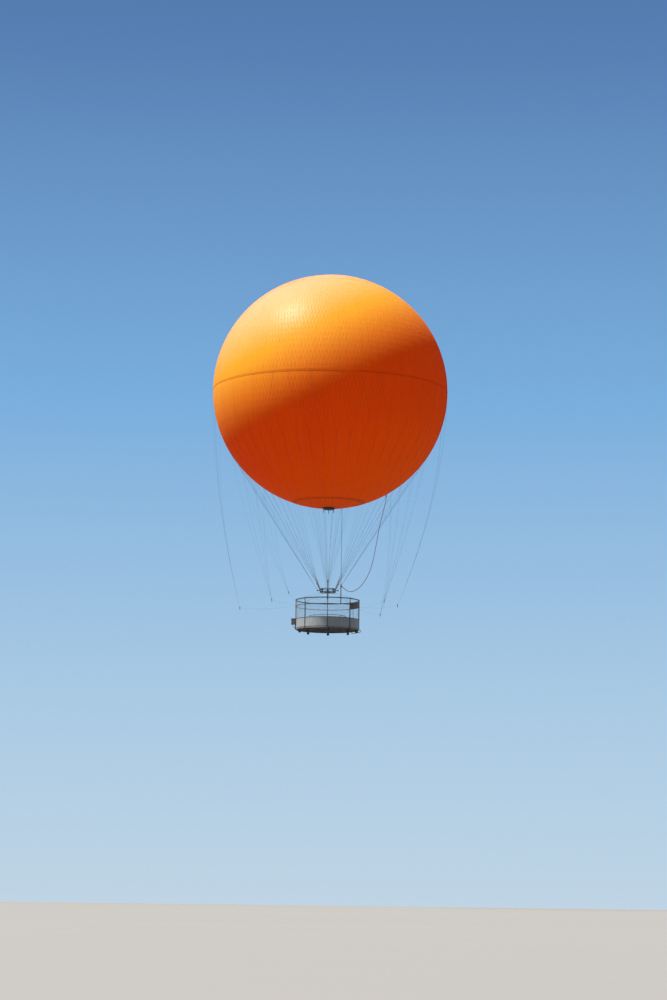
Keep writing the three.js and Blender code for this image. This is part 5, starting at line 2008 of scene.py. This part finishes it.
    def equipment(self) -> Shape:
        """The equipment case: a ribbed box with a lid, two latches, a gland and its slanted bracket.

        Returns:
            The case and its bracket.
        """
        azimuth, inner = 270.0, self.clad_radius + 2 * SEAT + self.post_size
        outer, high, low = inner + 0.38, -21.43, -21.99
        side, out = sideways(azimuth), outwards(azimuth)
        face = polar(outer - 0.004, azimuth, 0.0)
        case, lid, band, back = (blocks(*sizes[:5], azimuth, sizes[5]) for sizes in (
            (inner, outer - 0.006, 0.508, low, high - 0.075, 0.014),
            (inner, outer, 0.52, high - 0.08, high, 0.016),
            (inner + 0.002, outer - 0.001, 0.516, high - 0.095, high - 0.083, 0.004),
            (inner, inner + 0.03, 0.12, -22.4, low + 0.01, 0.004)))
        across = face + side * [[-0.18], [-0.06], [0.06], [0.18]]
        ribs = bars(across + UP * (low + 0.03), across + UP * (high - 0.12), 0.02, 0.01, out)
        vents = face + UP * (low + 0.1 + 0.03 * np.arange(5))[:, None]
        vents = bars(vents - side * 0.045, vents + side * 0.045, 0.008, 0.01, bevel=0.002)
        pair = face + side * [[-0.15], [0.15]]
        latches = bars(pair + UP * (high - 0.135), pair + UP * (high - 0.05), 0.04, 0.02, out, 0.004)
        brace = bars(polar(inner + 0.026, azimuth, -22.37), polar(outer - 0.06, azimuth, low + 0.005),
                     0.06, 0.03, bevel=0.004)
        gland = pegs(polar(inner + 0.2, azimuth, low - 0.01) + side * 0.12, UP * -0.02, 0.018)
        spots = polar(inner + 0.03, azimuth, np.array([-22.3, -22.1])) + side * 0.04
        bolts = scattered(hex_head(0.01, 0.007), spots, frames_towards(out))
        return dressed(CASE_PAINT=[case, lid, ribs], DARK_STEEL=[back, brace, band, vents, gland],
                       BRIGHT_STEEL=[latches, bolts])


@dataclass
class Casters:
    """Eight swivelling casters that trail towards +X."""

    circle: float = 2.63
    trail: float = 0.07
    wheel_radius: float = 0.125
    axle: float = -22.612
    crown_high: float = -22.458
    crown_low: float = -22.472
    stem_high: float = -22.4204
    half: float = 0.04
    cheek: float = 0.009

    def build(self, shop: Workshop) -> None:
        """Makes each fork and each wheel.

        Args:
            shop: Makes the pieces.
        """
        fork, wheel = self.fork(), self.wheel()
        for number, place in enumerate(polar(self.circle, spread(8), 0.0), 1):
            shop.piece(f"fork_{number}", fork.moved(place), Slot.DARK_STEEL, f"caster_fork_{number}",
                       body=f"caster_{number}")
            shop.piece(f"wheel_{number}", wheel.moved(place), Slot.TYRE, f"caster_wheel_{number}",
                       body=f"wheel_{number}")

    def fork(self) -> Shape:
        """The swivel's races, the crown plate, two tapered cheeks and the axle with its nuts.

        Returns:
            The fork, about its stem's foot.
        """
        half, cheek, crown = self.half, self.cheek, self.crown_high
        races = turned([[0.036, crown - 0.004], [0.042, crown + 0.004], [0.042, crown + 0.014],
                        [0.038, crown + 0.017], [0.042, crown + 0.02], [0.042, self.stem_high - 0.004],
                        [0.039, self.stem_high]], 24)
        plate = UP * (crown + self.crown_low) / 2 + RIGHT * self.trail / 2
        reach = RIGHT * (self.trail + 0.09) / 2
        plate = bars(plate - reach, plate + reach, 2 * half, 0.014, bevel=0.004)
        axle, heights = RIGHT * self.trail, np.array([-22.462, -22.52, -22.61, -22.638, -22.645])[:, None]
        taper = np.stack([[1.0, 0.94, 0.78, 0.6, 0.32], np.ones(5)], -1)
        cheeks = [swept(axle + BACK * side * (half - cheek / 2) + UP * heights, oblong(0.056, cheek, 0.002),
                        BACK, scale=taper) for side in (-1, 1)]
        axle = axle + UP * self.axle
        pin = pegs(axle, BACK * (half - 0.001), 0.0122, 16)
        nuts = pegs(axle + BACK * [[-half - 0.001], [half + 0.001]], BACK * 0.003, 0.016, 6)
        return dressed(DARK_STEEL=[races, plate, *cheeks], BRIGHT_STEEL=[pin, nuts])

    def wheel(self) -> Shape:
        """A round-shouldered tyre on a spoked hub, turned about the axle.

        Returns:
            The wheel, at its place under the stem.
        """
        rim, bore = self.wheel_radius, 0.0134
        tyre = turned(rounded([[0.082, -0.021], [rim - 0.006, -0.025], [rim, -0.012], [rim, 0.012],
                               [rim - 0.006, 0.025], [0.082, 0.021]], 0.005), 40, True)
        rims = turned(rounded([[0.068, -0.018], [0.083, -0.022], [0.083, 0.022], [0.068, 0.018]], 0.002, 1),
                      40, True)
        hub = turned(rectangle(bore, 0.027, -0.025, 0.025, 0.002, 1), 24, True)
        web = turned([[0.024, -0.006], [0.072, -0.008], [0.072, 0.008], [0.024, 0.006]], 32, True)
        spokes = blocks(0.024, 0.071, 0.014, -0.016, 0.016, spread(6))
        whole = dressed(TYRE_RUBBER=[tyre], BLACK_PLASTIC=[rims, hub, web, spokes])
        return scattered(whole, RIGHT * self.trail + UP * self.axle, ON_ITS_SIDE)


@dataclass
class Services:
    """The hose's fitting on the envelope and the control line with its sleeve."""

    spot: Point = (5.385656, 1.828184, -9.356924)
    normal: Point = (0.493387, 0.167482, -0.853533)
    nozzle: float = 0.048
    nozzle_high: float = -9.3902
    nozzle_low: float = -9.6382
    anchor: Point = (1.250304, 2.535366, -10.625589)
    anchor_normal: Point = (0.0965016, 0.1956859, -0.975907)
    sleeve: Point = (1.24, 2.68, -18.0)
    stub: Point = (0.74, -0.05, -0.67)
    foot: float = TOP_RING

    def build(self, shop: Workshop) -> None:
        """Makes the fitting and the line."""
        shop.piece("hose_flange", self.fitting(), Slot.BLACK_PLASTIC, "hose_fitting")
        shop.piece("control_line_and_sleeve", self.line(), Slot.ROPE, "control_line")

    def fitting(self) -> Shape:
        """A bolted flange on the cloth and a nozzle with clamp bands, hanging straight down.

        Returns:
            The fitting.
        """
        spot, facing = np.array(self.spot), frames_towards(unit(np.array(self.normal)))
        flange = turned([[0.168, 0.0], [0.17, 0.004], [0.17, 0.022], [0.16, 0.03], [0.075, 0.034],
                         [0.07, 0.036]], 48)
        places = spot + np.einsum("ij,pj->pi", facing[0], polar(0.145, spread(12), 0.029))
        top, bottom = (np.array([*self.spot[:2], height]) for height in (self.nozzle_high, self.nozzle_low))
        bands = pegs(bottom + UP * [[0.0275], [0.1075]], UP * 0.0075, self.nozzle + 0.003, 24)
        return dressed(BLACK_PLASTIC=[scattered(flange, spot, facing), rods(top, bottom, self.nozzle, 24)],
                       BRIGHT_STEEL=[bands, scattered(hex_head(0.01, 0.008), places, facing)])

    def line(self) -> Shape:
        """The line from its anchor to the sleeve, the stub that takes the hose, and the foot.

        Returns:
            The line.
        """
        anchor, normal, along = (np.array(part) for part in (self.anchor, self.anchor_normal, self.stub))
        sleeve, normal, along = np.array(self.sleeve), unit(normal), unit(along)
        foot = np.array([*self.sleeve[:2], self.foot])
        start = anchor + normal * 0.01
        ahead = unit(sleeve - start)
        ropes = [rods(start, sleeve, 0.015, 10), rods(start, start + ahead * 0.35, 0.019, 10)]
        barrel = turned([[0.04, -0.13], [0.052, -0.12], [0.055, -0.11], [0.055, 0.11], [0.052, 0.12],
                         [0.03, 0.13]], 32).moved(sleeve)
        rings = [hoop(0.054, 0.004, level, 32).moved(sleeve) for level in (-0.07, 0.0, 0.07)]
        pad = scattered(turned([[0.088, 0.0], [0.09, 0.004], [0.086, 0.014], [0.03, 0.016]], 32), anchor,
                        frames_towards(normal))
        stand = rods(foot + UP * 0.008, sleeve, 0.04, 16)
        side, seat = sideways(degrees(atan2(sleeve[0], -sleeve[1]))), foot + UP * 0.008
        plate = bars(seat - side * 0.07, seat + side * 0.07, 0.05, 0.016)
        cup = rods(foot + UP * 0.014, foot + UP * 0.1, 0.048, 16)
        clamp = rods(sleeve + along * 0.175, sleeve + along * 0.195, 0.048, 16)
        stub = rods(sleeve, sleeve + along * 0.21, 0.044, 16)
        return dressed(DARK_ROPE=ropes, BLACK_PLASTIC=[barrel, stub, *rings],
                       DARK_STEEL=[pad, stand, plate, cup], BRIGHT_STEEL=[clamp])


def main() -> None:
    """Builds the stage and the hose first, then each sub-assembly in order."""
    shop, envelope = Workshop(), Envelope()
    for part in (Stage(), ServiceHose(), envelope, Suspension(envelope), HandlingLines(envelope), Gondola(),
                 Casters(), Services()):
        part.build(shop)


if __name__ == "__main__":
    main()
